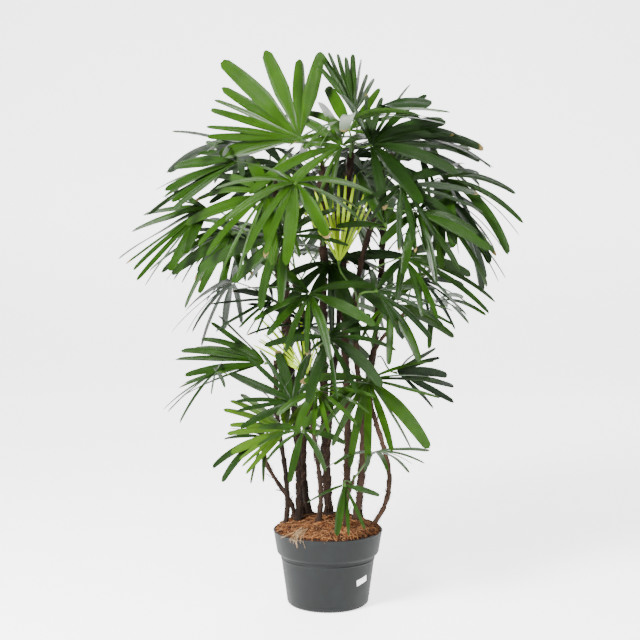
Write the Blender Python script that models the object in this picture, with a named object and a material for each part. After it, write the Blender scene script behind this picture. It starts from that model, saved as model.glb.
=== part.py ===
"""Lady palm in a plastic nursery pot, at life size.

Metres, +Z up, the front of the plant towards -Y, the origin under the middle of the pot.
Bearings are degrees round the plant: 0 is +X, 90 is the back, 180 is -X, -90 is the front.
"""
import math
import random
from collections import namedtuple

import bmesh
import bpy
from mathutils import Quaternion, Vector
from mathutils.bvhtree import BVHTree

UP = Vector((0.0, 0.0, 1.0))
GAP = 0.0003
SEED = 71

# Pot: a turned shell with a deep band under its rim, a shoulder and a thin rib below it
POT_HEIGHT = 0.215
RIM_RADIUS = 0.160
BAND_HEIGHT = 0.062
BAND_TAPER = 0.011
SHOULDER_STEP = 0.011
SHOULDER_DROP = 0.008
BASE_RADIUS = 0.118
FOOT_BEVEL = 0.005
RIB_BELOW_SHOULDER = 0.012
RIB_SIZE = 0.0016
POT_WALL = 0.003
LIP_WIDTH = 0.005
POT_SIDES = 32

# Potting mix: coarse fibre, heaped from just under the rim up to the middle
MIX_EDGE_HEIGHT = 0.204
MIX_HEAP = 0.038
MIX_FALL = 3.2
MIX_LUMP = 0.0035
MIX_RINGS = 4

# Canes: seven-sided rods with a flared foot, cut flat at both ends
CANE_SIDES = 7
CANE_STEP = 0.11
FLARE = 1.35
FLARE_HEIGHT = 0.03

# Crown of a cane: the young sheaths that stand on its tip and hold its youngest fronds
SHEATH_HEIGHT = 0.11
SHEATH_SWELL = 1.25
SHEATH_TOP_RADIUS = 0.0045
SHEATH_ROOTS = (0.55, 0.72, 0.38, 0.86)

# Frond: a petiole, a small hub and blunt leaflets that spread from it like a hand
HUB_RADIUS = 0.020
HUB_BACK = 0.009
HUB_DEPTH = 0.0045
HUB_KEEL = 0.0032
HUB_OPENS_AT = 143.0
PETIOLE_HALF_WIDTH = 0.0034
PETIOLE_DEPTH = 0.0060
PETIOLE_STEPS = 4
PETIOLE_LEAVES_AT = 52.0
LEAFLET_WIDTH = 0.145
LEAFLET_MIN_THICKNESS = 0.0105
LEAFLET_STATIONS = (0.34, 0.70, 1.0)
LEAFLET_SHAPE = (0.72, 1.0, 0.42)
LEAFLET_CLEARANCE = 0.0004
ROOM_AT_HUB = 0.86

# The fronds that stand singly on the canes, below the crowns
MOST_SINGLE_FRONDS = 32

# How far a hub may be moved, one try after another, to find room for its petiole and blade
NUDGE = 0.018
NUDGES = [
    (NUDGE * reach * x, NUDGE * reach * y, NUDGE * reach * z)
    for reach in (0, 1, 2, 3, 4)
    for x, y, z in ((0, 0, 1), (1, 0, 0), (0, -1, 0), (-1, 0, 0), (0, 1, 0), (0, 0, -1))
]

# One row a cane: foot x y, tip x y z, how far it bows off the straight line a third and two
# thirds of the way up (x y each), its radius at the foot and at the tip
Cane = namedtuple("Cane", "foot tip bow_low bow_high foot_radius tip_radius")
CANES = {
    "cane_1": Cane((-0.100, 0.060), (-0.188, 0.035, 0.430), (0.010, 0.0), (-0.004, 0.0), 0.0080, 0.0062),
    "cane_2": Cane((-0.124, 0.005), (-0.150, -0.020, 0.600), (0.012, 0.0), (0.004, 0.0), 0.0075, 0.0060),
    "cane_3": Cane((-0.086, 0.000), (-0.118, -0.030, 0.990), (0.006, 0.0), (-0.003, 0.0), 0.0100, 0.0080),
    "cane_4": Cane((-0.052, 0.090), (-0.080, 0.120, 0.860), (-0.010, 0.0), (0.014, 0.0), 0.0095, 0.0070),
    "cane_5": Cane((0.004, 0.040), (-0.015, 0.010, 1.190), (-0.008, 0.0), (-0.004, 0.0), 0.0125, 0.0100),
    "cane_6": Cane((0.050, 0.075), (0.062, 0.050, 1.250), (0.004, 0.0), (-0.010, 0.0), 0.0110, 0.0090),
    "cane_7": Cane((0.078, -0.005), (0.108, -0.030, 1.040), (0.012, 0.0), (-0.018, 0.0), 0.0090, 0.0075),
    "cane_8": Cane((0.134, 0.028), (0.168, 0.030, 0.780), (0.030, 0.0), (-0.034, 0.0), 0.0080, 0.0065),
    "cane_9": Cane((-0.028, -0.035), (-0.040, -0.075, 0.640), (0.008, 0.0), (-0.006, 0.0), 0.0075, 0.0060),
    "cane_10": Cane((0.045, -0.075), (0.056, -0.095, 0.330), (0.004, 0.0), (0.0, 0.0), 0.0060, 0.0050),
    "cane_11": Cane((-0.070, 0.120), (-0.160, 0.190, 1.150), (0.0, 0.02), (-0.01, 0.02), 0.0100, 0.0080),
    "cane_12": Cane((0.095, 0.110), (0.170, 0.180, 1.170), (0.0, 0.02), (0.01, 0.01), 0.0100, 0.0080),
    "cane_13": Cane((0.010, 0.132), (0.030, 0.220, 1.080), (-0.01, 0.01), (0.01, 0.02), 0.0085, 0.0070),
}

# One row a frond that shows: its cane, how far up the cane its foot is (1 is in the crown), the
# place of its hub, the clock angle that its blade points to as seen from the front (0 is +X, 90
# is up), the bearing that its upper face looks to and how far that face leans from level, the
# spread of its leaflets, their number, their length and how far they droop
Shown = namedtuple("Shown", "cane up hub points faces leans spread leaflets length droop")
SHOWN = (
    Shown("cane_5", 1.0, (-0.08, -0.05, 1.345), 130, -95, 70, 104, 8, 0.37, 0.03),
    Shown("cane_5", 1.0, (0.04, -0.12, 1.28), 150, -80, 48, 190, 7, 0.29, 0.22),
    Shown("cane_5", 0.93, (-0.26, 0.00, 1.28), 163, -130, 42, 120, 8, 0.31, 0.10),
    Shown("cane_5", 0.84, (-0.09, -0.19, 1.20), -105, -90, 50, 230, 8, 0.25, 0.20),
    Shown("cane_5", 0.77, (-0.17, -0.14, 1.17), 190, -115, 52, 240, 8, 0.27, 0.22),
    Shown("cane_6", 1.0, (0.08, 0.03, 1.43), 88, -60, 72, 60, 5, 0.27, 0.03),
    Shown("cane_6", 1.0, (0.12, -0.07, 1.32), 16, -78, 58, 190, 9, 0.29, 0.14),
    Shown("cane_6", 0.95, (0.27, 0.08, 1.31), 5, -45, 40, 160, 7, 0.26, 0.25),
    Shown("cane_6", 0.88, (0.31, 0.02, 1.20), -8, -45, 42, 180, 7, 0.26, 0.25),
    Shown("cane_6", 0.80, (0.20, -0.13, 1.20), -35, -70, 52, 220, 7, 0.25, 0.22),
    Shown("cane_7", 1.0, (0.31, -0.04, 1.14), -14, -45, 46, 190, 8, 0.28, 0.22),
    Shown("cane_7", 1.0, (0.24, -0.17, 1.12), -55, -75, 55, 190, 7, 0.22, 0.22),
    Shown("cane_7", 0.86, (0.21, -0.12, 1.00), -12, -60, 42, 190, 7, 0.26, 0.22),
    Shown("cane_7", 0.80, (0.03, -0.12, 0.99), 86, -90, 76, 56, 6, 0.27, 0.02),
    Shown("cane_7", 1.0, (0.16, -0.12, 1.04), 105, -90, 60, 120, 5, 0.21, 0.15),
    Shown("cane_7", 0.72, (0.13, -0.19, 0.91), 22, -85, 50, 150, 6, 0.20, 0.20),
    Shown("cane_3", 1.0, (-0.12, -0.20, 1.06), 140, -95, 62, 256, 9, 0.23, 0.20),
    Shown("cane_3", 1.0, (-0.27, -0.06, 1.07), 215, -125, 55, 170, 8, 0.23, 0.15),
    Shown("cane_3", 0.90, (-0.35, 0.00, 1.13), 203, -130, 50, 130, 8, 0.29, 0.05),
    Shown("cane_3", 0.77, (-0.16, 0.00, 0.88), 185, -120, 32, 150, 6, 0.20, 0.15),
    Shown("cane_8", 1.0, (0.17, -0.08, 0.87), -28, -75, 48, 220, 7, 0.20, 0.22),
    Shown("cane_8", 1.0, (0.27, 0.02, 0.94), 10, -45, 45, 180, 7, 0.20, 0.15),
    Shown("cane_8", 0.76, (0.11, -0.12, 0.66), -84, -80, 60, 210, 8, 0.25, 0.16),
    Shown("cane_8", 0.86, (0.20, 0.02, 0.67), 18, -50, 50, 90, 6, 0.20, 0.05),
    Shown("cane_4", 0.70, (-0.06, -0.07, 0.67), 112, -95, 72, 66, 6, 0.24, 0.03),
    Shown("cane_2", 1.0, (-0.18, -0.02, 0.70), 156, -115, 55, 60, 5, 0.33, 0.04),
    Shown("cane_2", 0.72, (-0.12, -0.10, 0.50), 142, -95, 55, 165, 9, 0.21, 0.08),
    Shown("cane_1", 1.0, (-0.18, -0.05, 0.49), 192, -120, 38, 140, 5, 0.19, 0.20),
    Shown("cane_3", 0.70, (-0.05, -0.17, 0.90), -100, -90, 52, 250, 7, 0.23, 0.22),
    Shown("cane_9", 1.0, (0.00, -0.17, 0.78), -70, -90, 52, 240, 7, 0.21, 0.25),
    Shown("cane_9", 0.80, (-0.07, -0.14, 0.52), -105, -90, 58, 200, 5, 0.15, 0.20),
    Shown("cane_10", 1.0, (0.045, -0.145, 0.37), -88, -90, 62, 130, 4, 0.14, 0.08),
    Shown("cane_6", 0.72, (-0.03, -0.02, 0.99), -80, -90, 62, 190, 8, 0.26, 0.15),
    Shown("cane_6", 1.0, (0.06, -0.04, 1.37), 100, -90, 62, 200, 7, 0.20, 0.10),
    Shown("cane_9", 0.84, (-0.10, -0.13, 0.60), 125, -95, 60, 150, 7, 0.20, 0.08),
    Shown("cane_9", 0.90, (-0.03, -0.20, 0.64), -70, -100, 45, 190, 6, 0.17, 0.20),
)


def bearing_vector(degrees):
    """Return the level unit vector at a bearing."""
    angle = math.radians(degrees)
    return Vector((math.cos(angle), math.sin(angle), 0.0))


def bezier(points, t):
    """Return the place and the heading at t on a curve with four control points."""
    a, b, c, d = points
    s = 1.0 - t
    place = a * s ** 3 + b * (3 * s * s * t) + c * (3 * s * t * t) + d * t ** 3
    heading = (b - a) * (3 * s * s) + (c - b) * (6 * s * t) + (d - c) * (3 * t * t)
    return place, heading.normalized()


Frond = namedtuple("Frond", "cane up bearing hub aim face spread leaflets length droop")


def leaning(bearing, lean):
    """Return the upright unit vector leant over towards a bearing."""
    lean = math.radians(lean)
    return bearing_vector(bearing) * math.sin(lean) + UP * math.cos(lean)


def tree_of(verts, faces):
    """Return the search tree of a shape given by its points and faces."""
    return BVHTree.FromPolygons([tuple(v) for v in verts], faces, epsilon=0.0)


def material(name, color, roughness, metallic=0.0):
    """Return a plain material."""
    made = bpy.data.materials.new(name)
    made.use_nodes = True
    made.diffuse_color = (*color, 1.0)
    shader = made.node_tree.nodes["Principled BSDF"]
    shader.inputs["Base Color"].default_value = (*color, 1.0)
    shader.inputs["Roughness"].default_value = roughness
    shader.inputs["Metallic"].default_value = metallic
    return made


def add_object(name, verts, faces, finish, smooth_below=None):
    """Add one closed mesh object with its faces pointing out."""
    mesh = bpy.data.meshes.new(name)
    mesh.from_pydata([tuple(v) for v in verts], [], faces)
    work = bmesh.new()
    work.from_mesh(mesh)
    bmesh.ops.recalc_face_normals(work, faces=work.faces)
    work.to_mesh(mesh)
    work.free()
    mesh.materials.append(finish)
    if smooth_below is not None:
        mesh.shade_smooth()
        mesh.set_sharp_from_angle(angle=math.radians(smooth_below))
    made = bpy.data.objects.new(name, mesh)
    bpy.context.scene.collection.objects.link(made)
    return made


def turned(profile, sides, lumpy_from=None, lump=0.0):
    """Return a shape turned about Z from (radius, height) pairs that start and end on the axis."""
    draw = random.Random(SEED)
    verts = [Vector((0.0, 0.0, profile[0][1]))]
    for ring, (radius, height) in enumerate(profile[1:-1]):
        for side in range(sides):
            rough = draw.uniform(-lump, lump) if lumpy_from is not None and ring >= lumpy_from else 0.0
            verts.append(bearing_vector(360 * side / sides) * radius + UP * (height + rough))
    verts.append(Vector((0.0, 0.0, profile[-1][1])))
    faces = []
    rings = len(profile) - 2
    for side in range(sides):
        after = (side + 1) % sides
        faces.append((0, 1 + after, 1 + side))
        for ring in range(rings - 1):
            low, high = 1 + ring * sides, 1 + (ring + 1) * sides
            faces.append((low + side, low + after, high + after, high + side))
        last = 1 + (rings - 1) * sides
        faces.append((last + side, last + after, len(verts) - 1))
    return verts, faces


def pot_outline():
    """Return the heights and outer radii of the pot from its foot to its rim."""
    band_foot = POT_HEIGHT - BAND_HEIGHT
    neck = band_foot - SHOULDER_DROP
    neck_radius = RIM_RADIUS - BAND_TAPER - SHOULDER_STEP
    slope = (neck_radius - BASE_RADIUS) / neck
    rib = neck - RIB_BELOW_SHOULDER

    def wall(height):
        return BASE_RADIUS + slope * height

    return [
        (BASE_RADIUS - FOOT_BEVEL, 0.0),
        (wall(FOOT_BEVEL), FOOT_BEVEL),
        (wall(rib - 2 * RIB_SIZE), rib - 2 * RIB_SIZE),
        (wall(rib) + RIB_SIZE, rib),
        (wall(rib + RIB_SIZE), rib + 2 * RIB_SIZE),
        (neck_radius, neck),
        (neck_radius + 0.7 * SHOULDER_STEP, neck + 0.3 * SHOULDER_DROP),
        (neck_radius + SHOULDER_STEP, band_foot),
        (RIM_RADIUS - 0.0015, POT_HEIGHT - 0.004),
        (RIM_RADIUS, POT_HEIGHT - 0.0015),
        (RIM_RADIUS - 0.0015, POT_HEIGHT),
    ]


def pot_inside():
    """Return the heights and radii of the pot's inner wall from its rim down to its floor."""
    band_foot = POT_HEIGHT - BAND_HEIGHT
    neck = band_foot - SHOULDER_DROP
    neck_radius = RIM_RADIUS - BAND_TAPER - SHOULDER_STEP
    return [
        (RIM_RADIUS - LIP_WIDTH, POT_HEIGHT),
        (RIM_RADIUS - LIP_WIDTH - 0.001, POT_HEIGHT - 0.003),
        (neck_radius + SHOULDER_STEP - POT_WALL, band_foot + POT_WALL),
        (neck_radius - POT_WALL, neck),
        (BASE_RADIUS - POT_WALL, POT_WALL),
    ]


def build_pot(finish):
    """Build the pot as one turned shell."""
    profile = [(0.0, 0.0)] + pot_outline() + pot_inside() + [(0.0, POT_WALL)]
    verts, faces = turned(profile, POT_SIDES)
    add_object("pot", verts, faces, finish, smooth_below=35)


def mix_shape():
    """Return the points and faces of the potting mix, just clear of the pot."""
    rim, under, band, neck, floor = pot_inside()
    share = (MIX_EDGE_HEIGHT - band[1]) / (under[1] - band[1])
    edge = band[0] + (under[0] - band[0]) * share - 2 * GAP
    profile = [
        (0.0, floor[1] + GAP),
        (floor[0] - 2 * GAP, floor[1] + GAP),
        (neck[0] - 2 * GAP, neck[1]),
        (band[0] - 2 * GAP, band[1] + GAP),
        (edge, MIX_EDGE_HEIGHT),
    ]
    for ring in range(MIX_RINGS):
        part = 1.0 - (ring + 0.35) / MIX_RINGS
        profile.append((edge * part, MIX_EDGE_HEIGHT + MIX_HEAP * (1.0 - part ** MIX_FALL)))
    profile.append((0.0, MIX_EDGE_HEIGHT + MIX_HEAP))
    return turned(profile, POT_SIDES, lumpy_from=4, lump=MIX_LUMP)


def top_of(verts, tree, place, radius):
    """Return the highest point of a faceted surface under a round foot."""
    centre = Vector((*place, 1.0))
    highest = max([v.z for v in verts if (v - centre).xy.length < radius], default=0.0)
    for side in range(36):
        hit = tree.ray_cast(centre + bearing_vector(10 * side) * radius, -UP)[0]
        if hit:
            highest = max(highest, hit.z)
    return highest


def cane_curve(cane, foot_height):
    """Return the four control points of a cane's middle line."""
    foot = Vector((*cane.foot, foot_height))
    tip = Vector(cane.tip)
    low = foot.lerp(tip, 1 / 3) + Vector((*cane.bow_low, 0.0))
    high = foot.lerp(tip, 2 / 3) + Vector((*cane.bow_high, 0.0))
    first = (low * 18 - high * 9 - foot * 5 + tip * 2) / 6
    second = (high * 18 - low * 9 - tip * 5 + foot * 2) / 6
    return foot, first, second, tip


def cane_radius(cane, curve, t):
    """Return the radius of a cane at t, wider in its foot."""
    plain = cane.foot_radius + (cane.tip_radius - cane.foot_radius) * t
    height = (curve[3].z - curve[0].z) * t
    return plain * (1.0 + (FLARE - 1.0) * max(0.0, 1.0 - height / FLARE_HEIGHT) ** 2)


def rod(rings, sides):
    """Return a closed shape from rings, each a list of points."""
    verts = [point for ring in rings for point in ring]
    faces = [tuple(range(sides)), tuple(range(len(verts) - sides, len(verts)))]
    for ring in range(len(rings) - 1):
        for side in range(sides):
            after = (side + 1) % sides
            low, high = ring * sides, (ring + 1) * sides
            faces.append((low + side, low + after, high + after, high + side))
    return verts, faces


def level_ring(centre, radius, sides):
    """Return a level ring of points."""
    return [centre + bearing_vector(360 * side / sides) * radius for side in range(sides)]


def cane_shape(cane, curve):
    """Return the points and faces of a cane."""
    steps = max(4, round((curve[3].z - curve[0].z) / CANE_STEP))
    stations = [0.0, FLARE_HEIGHT / (curve[3].z - curve[0].z)]
    stations += [step / steps for step in range(1, steps + 1) if step / steps > stations[1] + 0.03]
    rings = []
    for t in stations:
        centre = bezier(curve, t)[0]
        rings.append(level_ring(centre, cane_radius(cane, curve, t), CANE_SIDES))
    return rod(rings, CANE_SIDES)


def sheath_shape(cane, curve):
    """Return the points and faces of the sheaths on a cane's tip, and the two ends of their axis."""
    tip, heading = bezier(curve, 1.0)
    base = tip + UP * GAP
    top = tip + heading * (SHEATH_HEIGHT * (0.6 if curve[3].z < 0.5 else 1.0))
    wide = cane.tip_radius * SHEATH_SWELL
    rings = [
        level_ring(base, cane.tip_radius, CANE_SIDES),
        level_ring(base.lerp(top, 0.25), wide, CANE_SIDES),
        level_ring(top, SHEATH_TOP_RADIUS, CANE_SIDES),
    ]
    verts, faces = rod(rings, CANE_SIDES)
    return verts, faces, base, top


def section(centre, across, normal, half_width, depth):
    """Return the left edge, the right edge and the keel of a three-cornered section."""
    return (centre + across * half_width, centre - across * half_width, centre - normal * depth)


def strip_faces(first, steps):
    """Return the faces along a run of three-cornered sections, closed at its far end."""
    faces = []
    for step in range(steps):
        a = first + 3 * step
        b = a + 3
        faces += [(a, a + 1, b + 1), (a, b + 1, b)]
        faces += [(a + 1, a + 2, b + 2), (a + 1, b + 2, b + 1)]
        faces += [(a + 2, a, b), (a + 2, b, b + 2)]
    end = first + 3 * steps
    faces.append((end, end + 1, end + 2))
    return faces


def closed_strip(sections):
    """Return the points and faces of a run of sections, closed at both ends."""
    verts = [corner for ring in sections for corner in ring]
    return verts, [(0, 2, 1)] + strip_faces(0, len(sections) - 1)


Leaflet = namedtuple("Leaflet", "heading side length droop swerve width twist")


def leaflet_at(hub, leaflet, share):
    """Return the place and heading at a share of a leaflet's length."""
    down = leaflet.heading * leaflet.heading.z - UP
    bend = down * leaflet.droop + leaflet.side * leaflet.swerve
    place = hub + leaflet.heading * (leaflet.length * share) + bend * (leaflet.length * share ** 2)
    return place, (leaflet.heading + bend * (2 * share)).normalized()


def leaflet_sections(hub, normal, leaflet, room, grow=0.0):
    """Return the sections of a leaflet from its first station to its blunt tip."""
    depth = max(leaflet.length * LEAFLET_MIN_THICKNESS, 0.0022)
    sections = []
    for share, wide in zip(LEAFLET_STATIONS, LEAFLET_SHAPE):
        place, heading = leaflet_at(hub, leaflet, share)
        across = normal.cross(heading).normalized()
        across.rotate(Quaternion(heading, leaflet.twist * share))
        face = heading.cross(across)
        half = min(0.5 * leaflet.width * wide, room * leaflet.length * share)
        sections.append(section(place + face * grow, across, face, half + grow, depth + 2 * grow))
    return sections


def blade_axes(frond):
    """Return the forward, left and up directions of a frond's blade."""
    forward = (frond.aim - frond.face * frond.aim.dot(frond.face)).normalized()
    return forward, frond.face.cross(forward), frond.face


def leaflet_plan(frond, draw):
    """Return the angle and the shape of each leaflet of a frond, from its left to its right."""
    forward, left, up = blade_axes(frond)
    count = frond.leaflets
    gap = frond.spread / (count - 1)
    plan = []
    for index in range(count):
        place = 2 * index / (count - 1) - 1
        angle = place * frond.spread / 2 + draw.uniform(-0.24, 0.24) * gap
        turn = math.radians(angle)
        rise = draw.uniform(0.02, 0.22)
        heading = (forward * math.cos(turn) + left * math.sin(turn) + up * rise).normalized()
        length = frond.length * (1.0 - 0.22 * place ** 2) * draw.uniform(0.84, 1.08)
        droop = frond.droop * (1.0 + 0.3 * abs(place)) * draw.uniform(0.6, 1.8)
        width = frond.length * LEAFLET_WIDTH * (1.0 - 0.3 * abs(place)) * draw.uniform(0.85, 1.15)
        side = up.cross(heading).normalized()
        swerve = draw.uniform(-0.06, 0.06)
        twist = draw.uniform(-0.35, 0.35)
        plan.append((angle, Leaflet(heading, side, length, droop, swerve, width, twist)))
    return plan


def variants(leaflet):
    """Yield a leaflet as planned, then bent, swung and shortened a little more each time."""
    yield leaflet
    for shorter in (1.0, 0.9, 0.78, 0.64):
        for bend in (0.07, -0.07, 0.14, -0.14, 0.22, -0.22):
            yield leaflet._replace(length=leaflet.length * shorter, droop=leaflet.droop + bend)
            yield leaflet._replace(length=leaflet.length * shorter, swerve=leaflet.swerve + bend)


class Space:
    """The room round the plant that is already taken."""

    def __init__(self):
        self.taken = []

    def add(self, name, verts, faces):
        """Take the room of one shape."""
        low = Vector([min(v[i] for v in verts) for i in range(3)])
        high = Vector([max(v[i] for v in verts) for i in range(3)])
        self.taken.append((name, low, high, tree_of(verts, faces)))

    def free(self, verts, faces, ignore=()):
        """Say whether a shape touches nothing that is taken."""
        low = [min(v[i] for v in verts) for i in range(3)]
        high = [max(v[i] for v in verts) for i in range(3)]
        tree = None
        for name, other_low, other_high, other in self.taken:
            if name in ignore:
                continue
            if any(low[i] > other_high[i] or high[i] < other_low[i] for i in range(3)):
                continue
            tree = tree or tree_of(verts, faces)
            if tree.overlap(other):
                return False
        return True


def carried_along(curve, across, steps):
    """Return the places, headings and sideways directions along a curve, without any twist."""
    run = []
    before = bezier(curve, 0.0)[1]
    for step in range(steps + 1):
        place, heading = bezier(curve, step / steps)
        across = before.rotation_difference(heading) @ across
        run.append((place, heading, across))
        before = heading
    return run


def petiole_twist(curve, foot_across, left, steps):
    """Return the angle that a petiole twists through to meet the left of its blade."""
    place, heading, across = carried_along(curve, foot_across, steps)[-1]
    return math.atan2(heading.dot(across.cross(left)), across.dot(left))


def petiole_sections(curve, out, foot_across, blade, steps, sunk):
    """Return the sections of a petiole from its foot to just behind the hub.

    A foot that isn't sunk in a sheath is cut flat, along the side of its cane.
    """
    forward, left, up = blade
    twist = petiole_twist(curve, foot_across, left, steps)
    sections = []
    for step, (place, heading, across) in enumerate(carried_along(curve, foot_across, steps)[:-1]):
        across = Quaternion(heading, twist * step / steps) @ across
        face = heading.cross(across)
        if step == 0 and not sunk:
            across = foot_across
            face = out.cross(foot_across)
        half = PETIOLE_HALF_WIDTH * (0.8 if sunk and step == 0 else 1.0)
        sections.append(section(place + face * (PETIOLE_DEPTH / 2), across, face, half, PETIOLE_DEPTH))
    sections.append(section(curve[3], left, up, PETIOLE_HALF_WIDTH * 1.15, HUB_DEPTH))
    return sections


def petiole_curve(foot, out, hub, blade):
    """Return the control points of a petiole that leaves its foot outwards and up.

    It comes to the hub from behind and from under the blade.
    """
    forward, left, up = blade
    span = (hub - foot).length
    lift = math.radians(PETIOLE_LEAVES_AT)
    start = (out * math.cos(lift) + UP * math.sin(lift)).normalized()
    arrive = (forward * 0.5 + up * 0.5 + (hub - foot).normalized() * 0.4).normalized()
    back = hub - forward * HUB_BACK
    return foot, foot + start * (0.38 * span), back - arrive * (0.34 * span), back


def meets_itself(verts, faces):
    """Say whether any two faces of a shape that share no point cross each other."""
    tree = tree_of(verts, faces)
    return any(not set(faces[a]) & set(faces[b]) for a, b in tree.overlap(tree))


Grown = namedtuple("Grown", "frond hub blade rim petiole leaflets")


def grow_leaflets(frond, hub, blade, space, draw, petiole):
    """Return the rim points of the hub and the leaflets that find room, None where one doesn't."""
    forward, left, up = blade
    plan = leaflet_plan(frond, draw)
    angles = [angle for angle, leaflet in plan]
    gap = frond.spread / (frond.leaflets - 1)
    edges = [max(angles[0] - gap / 2, -HUB_OPENS_AT)]
    edges += [(a + b) / 2 for a, b in zip(angles, angles[1:])]
    edges.append(min(angles[-1] + gap / 2, HUB_OPENS_AT))
    rim = []
    for edge in edges:
        turn = math.radians(edge)
        rim.append(hub + (forward * math.cos(turn) + left * math.sin(turn)) * HUB_RADIUS)
    room = 0.5 * ROOM_AT_HUB * math.radians(gap)
    own = Space()
    near_hub = tuple(a.lerp(b, 0.8) for a, b in zip(petiole[-2], petiole[-1]))
    own.add("petiole", *closed_strip(petiole[:-1] + [near_hub]))
    kept = []
    for index, (angle, planned) in enumerate(plan):
        corners = (rim[index + 1], rim[index], rim[index].lerp(rim[index + 1], 0.5) - up * HUB_KEEL)
        middle = (corners[0] + corners[1] + corners[2]) / 3
        root = tuple(middle.lerp(corner, 0.8) for corner in corners)
        found = None
        for leaflet in variants(planned):
            sections = leaflet_sections(hub, up, leaflet, room, LEAFLET_CLEARANCE)
            run = closed_strip([root] + sections)
            if space.free(*run) and own.free(*run):
                found = leaflet
                own.add(f"leaflet_{index}", *run)
                break
        kept.append(found)
    return rim, kept, room


def frond_shape(grown, room):
    """Return the points and faces of one frond as a single closed shape."""
    forward, left, up = grown.blade
    hub = grown.hub
    verts = [hub.copy(), hub - up * HUB_DEPTH]
    verts += grown.rim
    faces = []
    for index, leaflet in enumerate(grown.leaflets):
        a, b = 2 + index, 3 + index
        middle = (verts[a] + verts[b]) / 2
        keel = len(verts)
        verts.append(middle - up * HUB_KEEL)
        faces += [(0, a, b), (1, keel, a), (1, b, keel)]
        if leaflet is None:
            faces.append((a, keel, b))
            continue
        first = len(verts)
        for ring in leaflet_sections(hub, up, leaflet, room):
            verts += list(ring)
        left_edge, right_edge, far_keel = first, first + 1, first + 2
        faces += [(b, a, right_edge), (b, right_edge, left_edge)]
        faces += [(a, keel, far_keel), (a, far_keel, right_edge)]
        faces += [(keel, b, left_edge), (keel, left_edge, far_keel)]
        faces += strip_faces(first, len(LEAFLET_STATIONS) - 1)
    count = len(grown.leaflets)
    right_rim, left_rim = 2, 2 + count
    first = len(verts)
    for ring in reversed(grown.petiole):
        verts += list(ring)
    back_left, back_right, back_keel = first, first + 1, first + 2
    faces += [(0, left_rim, back_left), (1, back_left, left_rim)]
    faces += [(0, back_right, right_rim), (1, right_rim, back_right)]
    faces += [(0, back_left, back_right)]
    faces += [(1, back_keel, back_left), (1, back_right, back_keel)]
    faces += strip_faces(first, len(grown.petiole) - 1)
    return verts, faces


def foot_on_cane(trees, curves, frond):
    """Return a frond's foot on its cane, with the outward and sideways directions there."""
    centre = bezier(curves[frond.cane], frond.up)[0]
    out = bearing_vector(frond.bearing)
    hit, normal, index, distance = trees[frond.cane].find_nearest(centre + out * 0.05)
    return hit + normal * GAP, normal, UP.cross(normal).normalized()


def grow_frond(frond, foot_data, space, draw, ignore, sunk):
    """Return a frond grown into the room that is left, or None."""
    foot, out, across = foot_data
    for nudge in NUDGES:
        moved = frond._replace(hub=frond.hub + Vector(nudge))
        blade = blade_axes(moved)
        curve = petiole_curve(foot, out, moved.hub, blade)
        if abs(petiole_twist(curve, across, blade[1], PETIOLE_STEPS)) > math.pi / 2:
            moved = moved._replace(face=-moved.face)
            blade = blade_axes(moved)
            curve = petiole_curve(foot, out, moved.hub, blade)
        petiole = petiole_sections(curve, out, across, blade, PETIOLE_STEPS, sunk)
        if not space.free(*closed_strip(petiole), ignore):
            continue
        rim, leaflets, room = grow_leaflets(moved, moved.hub, blade, space, draw, petiole)
        grown = Grown(moved, moved.hub, blade, rim, petiole, leaflets)
        if sum(leaflet is not None for leaflet in leaflets) < 3:
            continue
        shape = frond_shape(grown, room)
        if not meets_itself(*shape) and space.free(*shape, ignore):
            return grown, room
    return None


# How many fronds the rule adds to each cane, in its crown and below it, and the bearing that
# they turn to, so that the sides and the back are as full as the front
Fill = namedtuple("Fill", "crown below bearing")
FILL = {
    "cane_1": Fill(1, 0, 140),
    "cane_2": Fill(1, 1, 150),
    "cane_3": Fill(1, 1, 115),
    "cane_4": Fill(3, 2, 110),
    "cane_5": Fill(1, 1, 80),
    "cane_6": Fill(1, 1, 60),
    "cane_7": Fill(0, 0, 20),
    "cane_8": Fill(1, 1, 85),
    "cane_9": Fill(1, 0, -150),
    "cane_10": Fill(1, 0, 40),
    "cane_11": Fill(3, 3, 135),
    "cane_12": Fill(3, 3, 45),
    "cane_13": Fill(3, 2, 92),
}
GOLDEN_ANGLE = 137.5


def shown_fronds(axes, curves):
    """Return the fronds of the table, each with its directions."""
    made = []
    for row in SHOWN:
        hub = Vector(row.hub)
        foot = axes[row.cane][1] if row.up == 1.0 else bezier(curves[row.cane], row.up)[0]
        away = hub - foot
        angle = math.radians(row.points)
        aim = Vector((math.cos(angle), 0.0, math.sin(angle)))
        made.append(Frond(row.cane, row.up, math.degrees(math.atan2(away.y, away.x)), hub, aim,
                          leaning(row.faces, row.leans), row.spread, row.leaflets, row.length, row.droop))
    return made


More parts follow.
